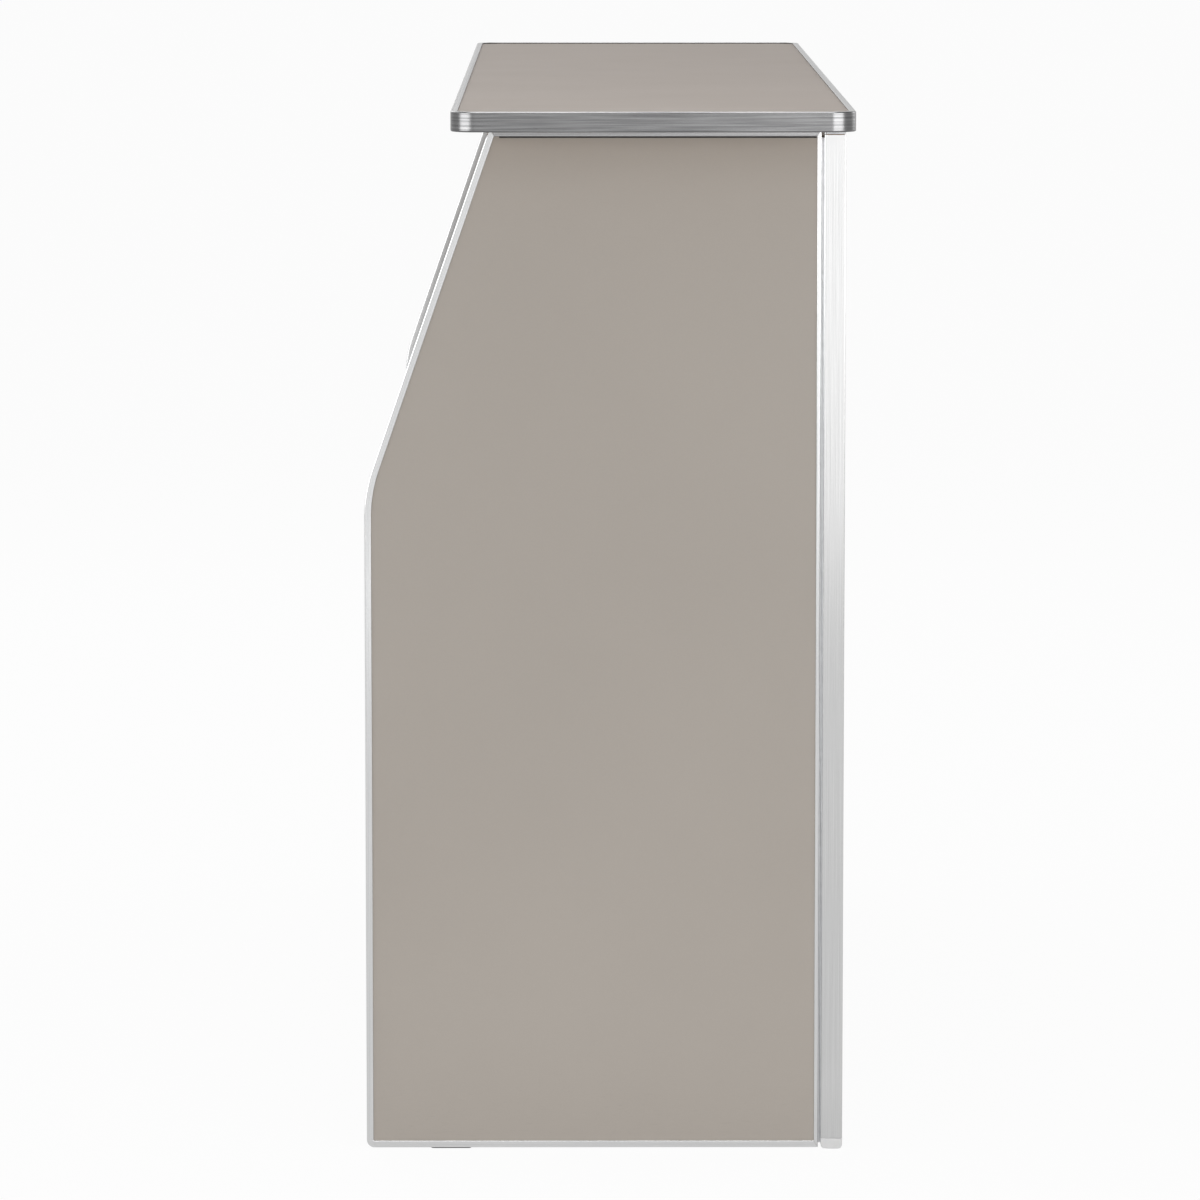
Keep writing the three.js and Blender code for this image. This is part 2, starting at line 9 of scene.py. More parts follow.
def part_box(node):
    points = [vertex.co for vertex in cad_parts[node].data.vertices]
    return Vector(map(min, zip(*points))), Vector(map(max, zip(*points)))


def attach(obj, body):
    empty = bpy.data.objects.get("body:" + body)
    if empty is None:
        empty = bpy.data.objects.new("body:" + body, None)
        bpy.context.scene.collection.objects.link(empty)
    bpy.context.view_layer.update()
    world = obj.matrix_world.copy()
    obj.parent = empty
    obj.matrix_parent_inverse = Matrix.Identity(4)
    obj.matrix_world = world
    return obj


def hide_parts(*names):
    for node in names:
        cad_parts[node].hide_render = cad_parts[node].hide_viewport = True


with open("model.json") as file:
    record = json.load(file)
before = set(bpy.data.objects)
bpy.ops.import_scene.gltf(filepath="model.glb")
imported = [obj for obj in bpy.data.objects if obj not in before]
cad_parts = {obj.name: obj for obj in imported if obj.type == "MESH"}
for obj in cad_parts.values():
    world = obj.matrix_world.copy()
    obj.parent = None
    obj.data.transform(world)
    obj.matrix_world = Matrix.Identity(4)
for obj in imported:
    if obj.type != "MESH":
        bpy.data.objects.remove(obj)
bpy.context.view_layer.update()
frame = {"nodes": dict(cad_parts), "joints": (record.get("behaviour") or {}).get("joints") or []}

nodes = frame["nodes"]
scene = bpy.context.scene
scene.view_settings.view_transform = "Standard"


# The camera stands off the bar's left end, a little above the top, and looks along the bar's
# length through a long lens: the near end panel fills the frame and the top recedes behind it.
camera_lens = bpy.data.cameras.new("camera")
camera_lens.sensor_width = 36.0
camera_lens.lens = 200.8
camera_lens.clip_end = 300.0
camera_pitch = 0.1209
camera_yaw = 0.0032
camera = bpy.data.objects.new("camera", camera_lens)
camera.location = (-7.5946, 0.0300, 1.3886)
camera.rotation_euler = (math.pi / 2 - camera_pitch, 0.0, -math.pi / 2 - camera_yaw)
scene.collection.objects.link(camera)
scene.camera = camera


# The studio: a wide pale painted floor, a white surround, and large soft boxes on stands that
# light the bar from over the camera, from both sides and from behind.
def node(tree, kind, settings=None, inputs=None):
    made = tree.nodes.new(kind)
    for name, value in (settings or {}).items():
        setattr(made, name, value)
    for name, value in (inputs or {}).items():
        if isinstance(value, bpy.types.NodeSocket):
            tree.links.new(value, made.inputs[name])
        else:
            made.inputs[name].default_value = value
    return made


def new_material(name):
    material = bpy.data.materials.new(name)
    material.use_nodes = True
    tree = material.node_tree
    return material, tree, tree.nodes["Principled BSDF"]


def noise(tree, coords, scale, detail):
    settings = {"Vector": coords, "Scale": scale, "Detail": detail, "Roughness": 0.55}
    return node(tree, "ShaderNodeTexNoise", inputs=settings).outputs["Fac"]


def stretched(tree, coords, scale):
    mapping = node(tree, "ShaderNodeMapping", inputs={"Vector": coords, "Scale": scale})
    return mapping.outputs["Vector"]


def blended(tree, factor, first, second, low=0.0, high=1.0):
    ramp = node(tree, "ShaderNodeValToRGB", inputs={"Fac": factor})
    ramp.color_ramp.elements[0].position = low
    ramp.color_ramp.elements[1].position = high
    ramp.color_ramp.elements[0].color = (*first, 1.0)
    ramp.color_ramp.elements[1].color = (*second, 1.0)
    return ramp.outputs["Color"]


def ranged(tree, value, low, high, start=0.0, end=1.0):
    names = {"Value": value, "From Min": start, "From Max": end, "To Min": low, "To Max": high}
    return node(tree, "ShaderNodeMapRange", inputs=names).outputs["Result"]


def bumped(tree, shader, height, strength, depth):
    names = {"Height": height, "Strength": strength, "Distance": depth}
    bump = node(tree, "ShaderNodeBump", inputs=names)
    tree.links.new(bump.outputs["Normal"], shader.inputs["Normal"])


def white_share(tree, seen_share, mirrored_share):
    rays = node(tree, "ShaderNodeLightPath").outputs
    mirrored = node(tree, "ShaderNodeMath", {"operation": "MAXIMUM"}, {
        0: rays["Is Glossy Ray"], 1: rays["Is Transmission Ray"]})
    mirrored = node(tree, "ShaderNodeMath", {"operation": "MULTIPLY"}, {
        0: mirrored.outputs["Value"], 1: mirrored_share})
    share = node(tree, "ShaderNodeMath", {"operation": "MULTIPLY_ADD"}, {
        0: rays["Is Camera Ray"], 1: seen_share, 2: mirrored.outputs["Value"]})
    return share.outputs["Value"]


def studio_floor():
    radius = 80.0
    pale_paint = (0.74, 0.74, 0.74)
    worn_paint = (0.71, 0.71, 0.71)
    seen_share = 0.95
    mirrored_share = 0.70
    made = bmesh.new()
    bmesh.ops.create_circle(made, cap_ends=True, segments=96, radius=radius)
    mesh = bpy.data.meshes.new("floor")
    made.to_mesh(mesh)
    made.free()
    material, tree, shader = new_material("floor_paint")
    coords = node(tree, "ShaderNodeTexCoord").outputs["Object"]
    cloud = noise(tree, coords, 3.0, 3.0)
    tree.links.new(blended(tree, cloud, worn_paint, pale_paint), shader.inputs["Base Color"])
    shader.inputs["Roughness"].default_value = 0.8
    white = node(tree, "ShaderNodeEmission", inputs={"Color": (1, 1, 1, 1), "Strength": 1.0})
    mixed = node(tree, "ShaderNodeMixShader", inputs={
        0: white_share(tree, seen_share, mirrored_share), 1: shader.outputs["BSDF"],
        2: white.outputs["Emission"]})
    tree.links.new(mixed.outputs["Shader"], tree.nodes["Material Output"].inputs["Surface"])
    mesh.materials.append(material)
    floor = bpy.data.objects.new("floor", mesh)
    scene.collection.objects.link(floor)


def soft_box(name, place, aim, width, height, power, card=False):
    lamp = bpy.data.lights.new(name, "AREA")
    lamp.shape = "RECTANGLE"
    lamp.size = width
    lamp.size_y = height
    lamp.energy = power
    box = bpy.data.objects.new(name, lamp)
    box.location = place
    box.rotation_euler = (Vector(aim) - Vector(place)).to_track_quat("-Z", "Y").to_euler()
    box.visible_camera = False
    box.visible_diffuse = not card
    scene.collection.objects.link(box)
    return box


def surround(camera_end, sides, far_end):
    white_from = 0.50
    white_to = 0.90
    world = bpy.data.worlds.new("surround")
    world.use_nodes = True
    scene.world = world
    tree = world.node_tree
    tree.nodes.clear()
    heading = node(tree, "ShaderNodeTexCoord").outputs["Generated"]
    along = node(tree, "ShaderNodeSeparateXYZ", inputs={"Vector": heading}).outputs["X"]
    behind = ranged(tree, along, camera_end, sides, -1.0, 0.0)
    level = ranged(tree, along, 0.0, far_end - sides, 0.0, 1.0)
    total = node(tree, "ShaderNodeMath", {"operation": "ADD"}, {0: behind, 1: level})
    endwise = node(tree, "ShaderNodeMath", {"operation": "ABSOLUTE"}, {0: along})
    mirrored_share = ranged(tree, endwise.outputs["Value"], 0.0, 1.0, white_from, white_to)
    white = node(tree, "ShaderNodeBackground", inputs={"Color": (1, 1, 1, 1), "Strength": 1.0})
    light = node(tree, "ShaderNodeBackground", inputs={
        "Color": (1, 1, 1, 1), "Strength": total.outputs["Value"]})
    mixed = node(tree, "ShaderNodeMixShader", inputs={
        0: white_share(tree, 1.0, mirrored_share), 1: light.outputs["Background"],
        2: white.outputs["Background"]})
    node(tree, "ShaderNodeOutputWorld", inputs={"Surface": mixed.outputs["Shader"]})


studio_floor()
surround(0.31, 0.50, 0.42)
bar_middle = (0.0, 0.0, 0.55)
near_end = (-0.9, 0.0, 0.8)
soft_box("beside_camera", (-4.4, -0.75, 1.16), (-0.9, -0.75, 1.16), 1.2, 1.9, 5.3)
soft_box("past_camera", (-4.4, 0.45, 1.16), (-0.9, 0.45, 1.16), 0.6, 1.9, 0.6)
soft_box("right_key", (-4.255, -2.419, 1.30), (-0.9, -0.24, 1.05), 3.5, 1.6, 42.5)
soft_box("right_card", (-4.171, -2.364, 1.30), (-0.9, -0.24, 1.05), 3.4, 1.6, 38.0, True)
soft_box("left_key", (-3.524, 3.169, 1.30), (-0.9, 0.15, 1.05), 4.1, 1.6, 36.5)
soft_box("left_card", (-3.407, 3.138, 1.30), (-0.9, 0.15, 1.05), 3.2, 1.6, 38.0, True)
soft_box("low_card", (-4.4, 0.31, 0.19), (-0.9, 0.31, 0.19), 0.36, 0.24, 0.300, True)
soft_box("edge_card", (-4.4, 0.22, 0.66), (-0.9, 0.22, 0.66), 0.32, 0.26, 0.300, True)
soft_box("over_camera", (-4.8, 0.30, 3.40), near_end, 2.0, 1.4, 15.0)
soft_box("overhead", (-1.0, 0.00, 3.00), (-1.0, 0.00, 1.00), 1.6, 1.2, 6.5)
soft_box("overhead_card", (-0.75, 0.00, 2.90), (-0.75, 0.00, 1.00), 1.5, 1.2, 36.0, True)
soft_box("customer_side", (2.0, -3.75, 1.90), bar_middle, 2.2, 2.2, 32.0)
soft_box("bartender_side", (0.8, 4.40, 3.40), bar_middle, 6.2, 4.2, 62.0)
toe_fill = soft_box("toe_fill", (-1.25, -0.02, 0.05), (-0.9, -0.02, 0.05), 0.6, 0.06, 0.19)
toe_fill.visible_glossy = False
soft_box("far_end", (4.0, 1.60, 3.20), bar_middle, 2.4, 2.0, 36.0)


# The front panel is a fibreboard core between two sheets of taupe high-pressure laminate, pressed
# and glued in one pack; the satin sheets show fine flecks and faint scuffs near the floor.
def fibreboard():
    pale_fibre = (0.46, 0.32, 0.19)
    dark_fibre = (0.30, 0.19, 0.10)
    material, tree, shader = new_material("fibreboard")
    coords = node(tree, "ShaderNodeTexCoord").outputs["Object"]
    fibre = noise(tree, coords, 420.0, 5.0)
    tree.links.new(blended(tree, fibre, dark_fibre, pale_fibre, 0.3, 0.7), shader.inputs["Base Color"])
    tree.links.new(ranged(tree, fibre, 0.95, 0.75), shader.inputs["Roughness"])
    bumped(tree, shader, fibre, 0.3, 0.0003)
    return material


def taupe_laminate(name, taupe, gloss):
    deeper = tuple(0.955 * c for c in taupe)
    scuff_height = 0.10
    material, tree, shader = new_material(name)
    coords = node(tree, "ShaderNodeTexCoord").outputs["Object"]
    fleck = noise(tree, coords, 850.0, 2.0)
    cloud = noise(tree, coords, 2.4, 3.0)
    both = node(tree, "ShaderNodeMath", {"operation": "MULTIPLY_ADD"}, {0: fleck, 1: 0.55, 2: cloud})
    colour = blended(tree, both.outputs["Value"], deeper, taupe, 0.55, 1.05)
    height = node(tree, "ShaderNodeSeparateXYZ", inputs={"Vector": coords}).outputs["Z"]
    low_down = ranged(tree, height, 1.0, 0.0, 0.0, scuff_height)
    streak = noise(tree, stretched(tree, coords, (90.0, 90.0, 700.0)), 1.0, 4.0)
    scuff = ranged(tree, streak, 0.0, 0.5, 0.58, 0.78)
    worn = node(tree, "ShaderNodeMath", {"operation": "MULTIPLY"}, {0: low_down, 1: scuff})
    scuffed = node(tree, "ShaderNodeMix", {"data_type": "RGBA"}, {
        "Factor": worn.outputs["Value"], 6: colour, 7: (*(0.8 * c for c in taupe), 1.0)})
    tree.links.new(scuffed.outputs[2], shader.inputs["Base Color"])
    smear = noise(tree, coords, 6.0, 4.0)
    tree.links.new(ranged(tree, smear, 0.42, 0.56), shader.inputs["Roughness"])
    shader.inputs["Specular IOR Level"].default_value = gloss
    bumped(tree, shader, noise(tree, coords, 1600.0, 2.0), 0.06, 0.0002)
    return material


def refinished(names, material):
    for name in names:
        nodes[name].material_slots[0].material = material


core_finish = fibreboard()
panel_finish = taupe_laminate("panel_laminate", (0.426, 0.387, 0.347), 0.2)
refinished(["front_board"], core_finish)
refinished(["front_outer_laminate", "front_inner_laminate"], panel_finish)


# Every panel edge wears a pressed-on U channel of extruded aluminium, satin anodised and brushed
# along its length; a lip laps each face, and the front panel's runs are butted square.
def brushed_aluminium(name, bright, dull, roughness, along, across):
    material, tree, shader = new_material(name)
    coords = node(tree, "ShaderNodeUVMap", {"uv_map": "UVMap"}).outputs["UV"]
    brush = noise(tree, stretched(tree, coords, (along, across, 1.0)), 1.0, 4.0)
    tree.links.new(blended(tree, brush, dull, bright, 0.35, 0.65), shader.inputs["Base Color"])
    tree.links.new(ranged(tree, brush, roughness + 0.05, roughness - 0.03), shader.inputs["Roughness"])
    shader.inputs["Metallic"].default_value = 1.0
    bumped(tree, shader, brush, 0.08, 0.0001)
    return material


def new_tree(name, sizes):
    tree = bpy.data.node_groups.new(name, "GeometryNodeTree")
    tree.interface.new_socket("Shape", in_out="INPUT", socket_type="NodeSocketGeometry")
    for label, socket in sizes.items():
        tree.interface.new_socket(label, in_out="INPUT", socket_type=socket)
    tree.interface.new_socket("Material", in_out="INPUT", socket_type="NodeSocketMaterial")
    tree.interface.new_socket("Shape", in_out="OUTPUT", socket_type="NodeSocketGeometry")
    return tree, node(tree, "NodeGroupInput").outputs


def ended(tree, shape, material):
    real = node(tree, "GeometryNodeRealizeInstances", inputs={"Geometry": shape})
    coated = node(tree, "GeometryNodeSetMaterial", inputs={
        "Geometry": real.outputs["Geometry"], "Material": material})
    node(tree, "NodeGroupOutput", inputs={"Shape": coated.outputs["Geometry"]})


def maths(tree, operation, first, second):
    made = node(tree, "ShaderNodeMath", {"operation": operation}, {0: first, 1: second})
    return made.outputs["Value"]


def edge_channel():
    sizes = {
        "Width": "NodeSocketFloat",
        "Lip": "NodeSocketFloat",
        "Wall": "NodeSocketFloat",
        "Edge Radius": "NodeSocketFloat",
        "Start Mitre": "NodeSocketFloat",
        "End Mitre": "NodeSocketFloat",
        "Across": "NodeSocketVector",
    }
    tree, given = new_tree("edge_channel", sizes)
    half = maths(tree, "MULTIPLY", given["Width"], 0.5)
    inside = maths(tree, "SUBTRACT", half, given["Wall"])
    corners = [
        (inside, given["Wall"]), (inside, given["Lip"]), (half, given["Lip"]), (half, 0.0),
        (half, 0.0), (half, given["Lip"]), (inside, given["Lip"]), (inside, given["Wall"]),
    ]
    order = node(tree, "GeometryNodeIndexSwitch", {"data_type": "VECTOR"})
    while len(order.index_switch_items) < len(corners):
        order.index_switch_items.new()
    tree.links.new(node(tree, "GeometryNodeInputIndex").outputs["Index"], order.inputs["Index"])
    for place, (across, depth) in enumerate(corners):
        side = -1.0 if place < len(corners) / 2 else 1.0
        corner = node(tree, "ShaderNodeCombineXYZ", inputs={
            "X": maths(tree, "MULTIPLY", across, side), "Y": depth})
        tree.links.new(corner.outputs["Vector"], order.inputs[place + 1])
    ring = node(tree, "GeometryNodeMeshCircle", inputs={"Vertices": len(corners)})
    section = node(tree, "GeometryNodeSetPosition", inputs={
        "Geometry": ring.outputs["Mesh"], "Position": order.outputs["Output"]})
    section = node(tree, "GeometryNodeMeshToCurve", inputs={"Mesh": section.outputs["Geometry"]})
    section = node(tree, "GeometryNodeFilletCurve", {"mode": "POLY"}, {
        "Curve": section.outputs["Curve"], "Count": 5, "Radius": given["Edge Radius"],
        "Limit Radius": True})
    position = node(tree, "GeometryNodeInputPosition").outputs["Position"]
    depth = node(tree, "ShaderNodeSeparateXYZ", inputs={"Vector": position}).outputs["Y"]
    measure = node(tree, "GeometryNodeSplineParameter")
    kept_section = node(tree, "GeometryNodeCaptureAttribute", {"domain": "POINT"}, {
        "Geometry": section.outputs["Curve"]})
    kept_section.capture_items.new("FLOAT", "depth")
    kept_section.capture_items.new("FLOAT", "girth")
    tree.links.new(depth, kept_section.inputs["depth"])
    tree.links.new(measure.outputs["Length"], kept_section.inputs["girth"])

    run = node(tree, "GeometryNodeMeshToCurve", inputs={"Mesh": given["Shape"]})
    run = node(tree, "GeometryNodeSetCurveNormal", {"mode": "FREE"}, {
        "Curve": run.outputs["Curve"], "Normal": given["Across"]})
    first = node(tree, "GeometryNodeCurveEndpointSelection", inputs={"Start Size": 1, "End Size": 0})
    last = node(tree, "GeometryNodeCurveEndpointSelection", inputs={"Start Size": 0, "End Size": 1})
    start = maths(tree, "MULTIPLY", first.outputs["Selection"], given["Start Mitre"])
    end = maths(tree, "MULTIPLY", last.outputs["Selection"], given["End Mitre"])
    slope = maths(tree, "SUBTRACT", start, end)
    kept_run = node(tree, "GeometryNodeCaptureAttribute", {"domain": "POINT"}, {
        "Geometry": run.outputs["Curve"]})
    kept_run.capture_items.new("FLOAT", "slope")
    kept_run.capture_items.new("FLOAT", "length")
    kept_run.capture_items.new("VECTOR", "heading")
    tree.links.new(slope, kept_run.inputs["slope"])
    tree.links.new(measure.outputs["Length"], kept_run.inputs["length"])
    heading = node(tree, "GeometryNodeInputTangent").outputs["Tangent"]
    tree.links.new(heading, kept_run.inputs["heading"])

    swept = node(tree, "GeometryNodeCurveToMesh", inputs={
        "Curve": kept_run.outputs["Geometry"], "Profile Curve": kept_section.outputs["Geometry"],
        "Fill Caps": True})
    shift = maths(tree, "MULTIPLY", kept_section.outputs["depth"], kept_run.outputs["slope"])
    offset = node(tree, "ShaderNodeVectorMath", {"operation": "SCALE"}, {
        0: kept_run.outputs["heading"], "Scale": shift})
    mitred = node(tree, "GeometryNodeSetPosition", inputs={
        "Geometry": swept.outputs["Mesh"], "Offset": offset.outputs["Vector"]})
    spot = node(tree, "ShaderNodeCombineXYZ", inputs={
        "X": kept_run.outputs["length"], "Y": kept_section.outputs["girth"]})
    mapped = node(tree, "GeometryNodeStoreNamedAttribute", {"data_type": "FLOAT2", "domain": "CORNER"}, {
        "Geometry": mitred.outputs["Geometry"], "Name": "UVMap", "Value": spot.outputs["Vector"]})
    ended(tree, mapped.outputs["Geometry"], given["Material"])
    return tree


def softened(mesh, angle):
    made = bmesh.new()
    made.from_mesh(mesh)
    bmesh.ops.remove_doubles(made, verts=made.verts, dist=1e-7)
    bmesh.ops.recalc_face_normals(made, faces=made.faces)
    made.to_mesh(mesh)
    made.free()
    mesh.polygons.foreach_set("use_smooth", [True] * len(mesh.polygons))
    mesh.set_sharp_from_angle(angle=math.radians(angle))
    return mesh


def evenly_shaded(piece):
    weighted = piece.modifiers.new("flat_faces", "WEIGHTED_NORMAL")
    weighted.keep_sharp = True
    weighted.weight = 100
    bpy.context.view_layer.update()
    graph = bpy.context.evaluated_depsgraph_get()
    piece.data = bpy.data.meshes.new_from_object(piece.evaluated_get(graph), depsgraph=graph)
    piece.modifiers.clear()
    piece.data.name = piece.name
    return piece


def grown(name, mesh, tree, inputs):
    piece = bpy.data.objects.new(name, mesh)
    scene.collection.objects.link(piece)
    modifier = piece.modifiers.new("shape", "NODES")
    modifier.node_group = tree
    for label, value in inputs.items():
        modifier[tree.interface.items_tree[label].identifier] = value
    bpy.context.view_layer.update()
    graph = bpy.context.evaluated_depsgraph_get()
    shape = bpy.data.meshes.new_from_object(piece.evaluated_get(graph), depsgraph=graph)
    piece.modifiers.clear()
    piece.data = softened(shape, 30.0)
    return evenly_shaded(piece)


def line_mesh(name, points, closed):
    count = len(points)
    edges = [(k, (k + 1) % count) for k in range(count if closed else count - 1)]
    mesh = bpy.data.meshes.new(name)
    mesh.from_pydata([tuple(p) for p in points], edges, [])
    return mesh


def mounted(piece, body, slot, *replaced):
    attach(piece, body)
    if replaced:
        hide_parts(*replaced)
    return piece


channel_wall = 0.0012
channel_lip = 0.007
channel_rounding = 0.0010
channel_shape = edge_channel()
edging_finish = brushed_aluminium(
    "channel_aluminium", (0.68, 0.682, 0.685), (0.588, 0.591, 0.595), 0.15, 5.0, 1500.0)
# The front panel's channels take a darker copy of the same aluminium: painted shade that tones down the upright
# channel facing the lamps beside the camera.
shaded_post_finish = brushed_aluminium(
    "shaded_post_aluminium", (0.622, 0.622, 0.622), (0.537, 0.537, 0.538), 0.15, 5.0, 1500.0)


def channel(name, points, across, width, mitres, body, finish,
            lip=channel_lip, rounding=channel_rounding, closed=False):
    inputs = {
        "Width": width,
        "Lip": lip,
        "Wall": channel_wall,
        "Edge Radius": rounding,
        "Start Mitre": mitres[0],
        "End Mitre": mitres[1],
        "Across": across,
        "Material": finish,
    }
    piece = grown(name + "_edging", line_mesh(name, points, closed), channel_shape, inputs)
    return mounted(piece, body, "edging", name)


def front_channels():
    facing_in = (0.0, 1.0, 0.0)
    for word in ("top", "bottom", "left", "right"):
        name = f"front_{word}_channel"
        low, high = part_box(name)
        middle = (low.y + high.y) / 2
        bottom_left = (low.x, middle, low.z)
        bottom_right = (high.x, middle, low.z)
        top_left = (low.x, middle, high.z)
        top_right = (high.x, middle, high.z)
        run = {
            "top": (top_right, top_left),
            "bottom": (bottom_left, bottom_right),
            "left": (top_left, bottom_left),
            "right": (bottom_right, top_right),
        }[word]
        channel(name, run, facing_in, high.y - low.y, (0.0, 0.0), "front_panel", shaded_post_finish)


front_channels()


# Two moulded plastic feet fill the lower corners of the front panel and lift its bottom channel
# off the floor; the edges that meet the floor are well rounded, so that they slide.
def moulded_plastic(name, colour, roughness, grain):
    material, tree, shader = new_material(name)
    coords = node(tree, "ShaderNodeTexCoord").outputs["Object"]
    cloud = noise(tree, coords, 45.0, 3.0)
    paler = tuple(min(1.0, 1.06 * c) for c in colour)
    tree.links.new(blended(tree, cloud, colour, paler, 0.3, 0.7), shader.inputs["Base Color"])
    spark = noise(tree, coords, grain, 2.0)
    tree.links.new(ranged(tree, spark, roughness - 0.06, roughness + 0.08), shader.inputs["Roughness"])
    bumped(tree, shader, spark, 0.2, 0.0002)
    return material


def arc(centre, radius, start, turn, steps):
    angles = [start + turn * k / steps for k in range(steps + 1)]
    return [(centre[0] + radius * math.cos(a), centre[1] + radius * math.sin(a)) for a in angles]


def prism(made, section, place, start, end):
    count = len(section)
    rows = [[made.verts.new(place(u, v, w)) for u, v in section] for w in (start, end)]
    made.faces.new(rows[0])
    made.faces.new(rows[1])
    for k in range(count):
        ring = (rows[0][k], rows[0][(k + 1) % count], rows[1][(k + 1) % count], rows[1][k])
        made.faces.new(ring)


def eased(name, made, material, edge, steps=2, angle=35.0):
    bmesh.ops.recalc_face_normals(made, faces=made.faces)
    mesh = bpy.data.meshes.new(name)
    made.to_mesh(mesh)
    made.free()
    mesh.materials.append(material)
    piece = bpy.data.objects.new(name, mesh)
    scene.collection.objects.link(piece)
    if edge:
        bevel = piece.modifiers.new("eased_edges", "BEVEL")
        bevel.width = edge
        bevel.segments = steps
        bevel.limit_method = "ANGLE"
        bevel.angle_limit = math.radians(angle)
        bevel.use_clamp_overlap = True
        bpy.context.view_layer.update()
        graph = bpy.context.evaluated_depsgraph_get()
        piece.data = bpy.data.meshes.new_from_object(piece.evaluated_get(graph), depsgraph=graph)
        piece.modifiers.clear()
    softened(piece.data, angle)
    return evenly_shaded(piece)


foot_finish = moulded_plastic("foot_plastic", (0.68, 0.68, 0.68), 0.42, 900.0)


def corner_feet():
    rounding = 0.0045
    steps = 8
    for word in ("left", "right"):
        name = f"front_{word}_foot"
        low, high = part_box(name)
        front = arc((low.y + rounding, low.z + rounding), rounding, math.pi, math.pi / 2, steps)
        rear = arc((high.y - rounding, low.z + rounding), rounding, 1.5 * math.pi, math.pi / 2, steps)
        section = [*front, *rear, (high.y, high.z), (low.y, high.z)]
        made = bmesh.new()
        prism(made, section, lambda u, v, w: (w, u, v), low.x, high.x)
        mounted(eased(name + "_moulding", made, foot_finish, 0.0008, 3), "front_panel", "foot", name)


corner_feet()


# A continuous steel hinge runs up each corner: one leaf is screwed to the front panel and one to
# the end panel, and their rolled knuckles take turns along a pin with two small heads.
def hinge_steel(name, colour, roughness):
    material, tree, shader = new_material(name)
    coords = node(tree, "ShaderNodeTexCoord").outputs["Object"]
    roll = noise(tree, coords, 130.0, 4.0)
    duller = tuple(0.86 * c for c in colour)
    tree.links.new(blended(tree, roll, duller, colour, 0.35, 0.65), shader.inputs["Base Color"])
    tree.links.new(ranged(tree, roll, roughness + 0.12, roughness - 0.05), shader.inputs["Roughness"])
    shader.inputs["Metallic"].default_value = 1.0
    bumped(tree, shader, noise(tree, coords, 900.0, 2.0), 0.08, 0.0001)
    return material


def piece_row():
    sizes = {"Count": "NodeSocketInt", "Start": "NodeSocketVector", "Step": "NodeSocketVector"}
    tree, given = new_tree("piece_row", sizes)
    line = node(tree, "GeometryNodeMeshLine", {"mode": "OFFSET"}, {
        "Count": given["Count"], "Start Location": given["Start"], "Offset": given["Step"]})
    copies = node(tree, "GeometryNodeInstanceOnPoints", inputs={
        "Points": line.outputs["Mesh"], "Instance": given["Shape"]})
    ended(tree, copies.outputs["Instances"], given["Material"])
    return tree


def lathed(made, profile, place, sides=32):
    rings = []
    for radius, height in profile:
        if radius == 0.0:
            rings.append([made.verts.new(place(0.0, 0.0, height))])
            continue
        turns = [2 * math.pi * k / sides for k in range(sides)]
        rings.append([
            made.verts.new(place(radius * math.cos(a), radius * math.sin(a), height)) for a in turns])
    for below, above in zip(rings, rings[1:]):
        for k in range(sides):
            onward = (k + 1) % sides
            ring = [below[k % len(below)], below[onward % len(below)],
                    above[onward % len(above)], above[k % len(above)]]
            made.faces.new(list(dict.fromkeys(ring)))


row_shape = piece_row()
steel_finish = hinge_steel("hinge_steel", (0.45, 0.455, 0.465), 0.30)


def row_of(name, made, count, start, step, material):
    bmesh.ops.recalc_face_normals(made, faces=made.faces)
    mesh = bpy.data.meshes.new(name)
    made.to_mesh(mesh)
    made.free()
    inputs = {"Count": count, "Start": start, "Step": step, "Material": material}
    return grown(name, mesh, row_shape, inputs)


def keyhole(radius, tab_top, tab_bottom, tab_end, sides=18):
    start = math.asin(max(-0.9, tab_top / radius))
    stop = 2 * math.pi + math.asin(max(-0.999, tab_bottom / radius))
    ring = arc((0.0, 0.0), radius, start, stop - start, sides)
    return [*ring, (tab_end, tab_bottom), (tab_end, tab_top)]


def pin_profile(radius, head, length, cap):
    dome = 0.6 * cap
    return [
        (0.0, -cap), (0.6 * head, -cap), (head, -cap + dome), (head, 0.0), (radius, 0.0),
        (radius, length), (head, length), (head, length + cap - dome), (0.6 * head, length + cap),
        (0.0, length + cap),
    ]


def screw(made, radius, rise, sink, place, sides=16):
    slot = 0.62 * radius
    arm = 0.15 * radius
    cross = [(slot, -arm), (slot, arm), (arm, arm), (arm, slot), (-arm, slot), (-arm, arm),
             (-slot, arm), (-slot, -arm), (-arm, -arm), (-arm, -slot), (arm, -slot), (arm, -arm)]
    lathed(made, [(0.0, -sink), (radius, -sink), (radius, 0.4 * rise), (0.86 * radius, rise)], place, sides)
    made.verts.ensure_lookup_table()
    rim = made.verts[-sides:]
    recess = [made.verts.new(place(u, v, rise)) for u, v in cross]
    floor = [made.verts.new(place(u, v, 0.2 * rise)) for u, v in cross]
    made.faces.new(floor)
    count = len(cross)
    for k in range(count):
        made.faces.new((recess[k], recess[(k + 1) % count], floor[(k + 1) % count], floor[k]))
    loop = [made.edges.get((rim[k], rim[(k + 1) % sides])) for k in range(sides)]
    loop += [made.edges.get((recess[k], recess[(k + 1) % count])) for k in range(count)]
    bmesh.ops.triangle_fill(made, edges=loop, use_beauty=True)


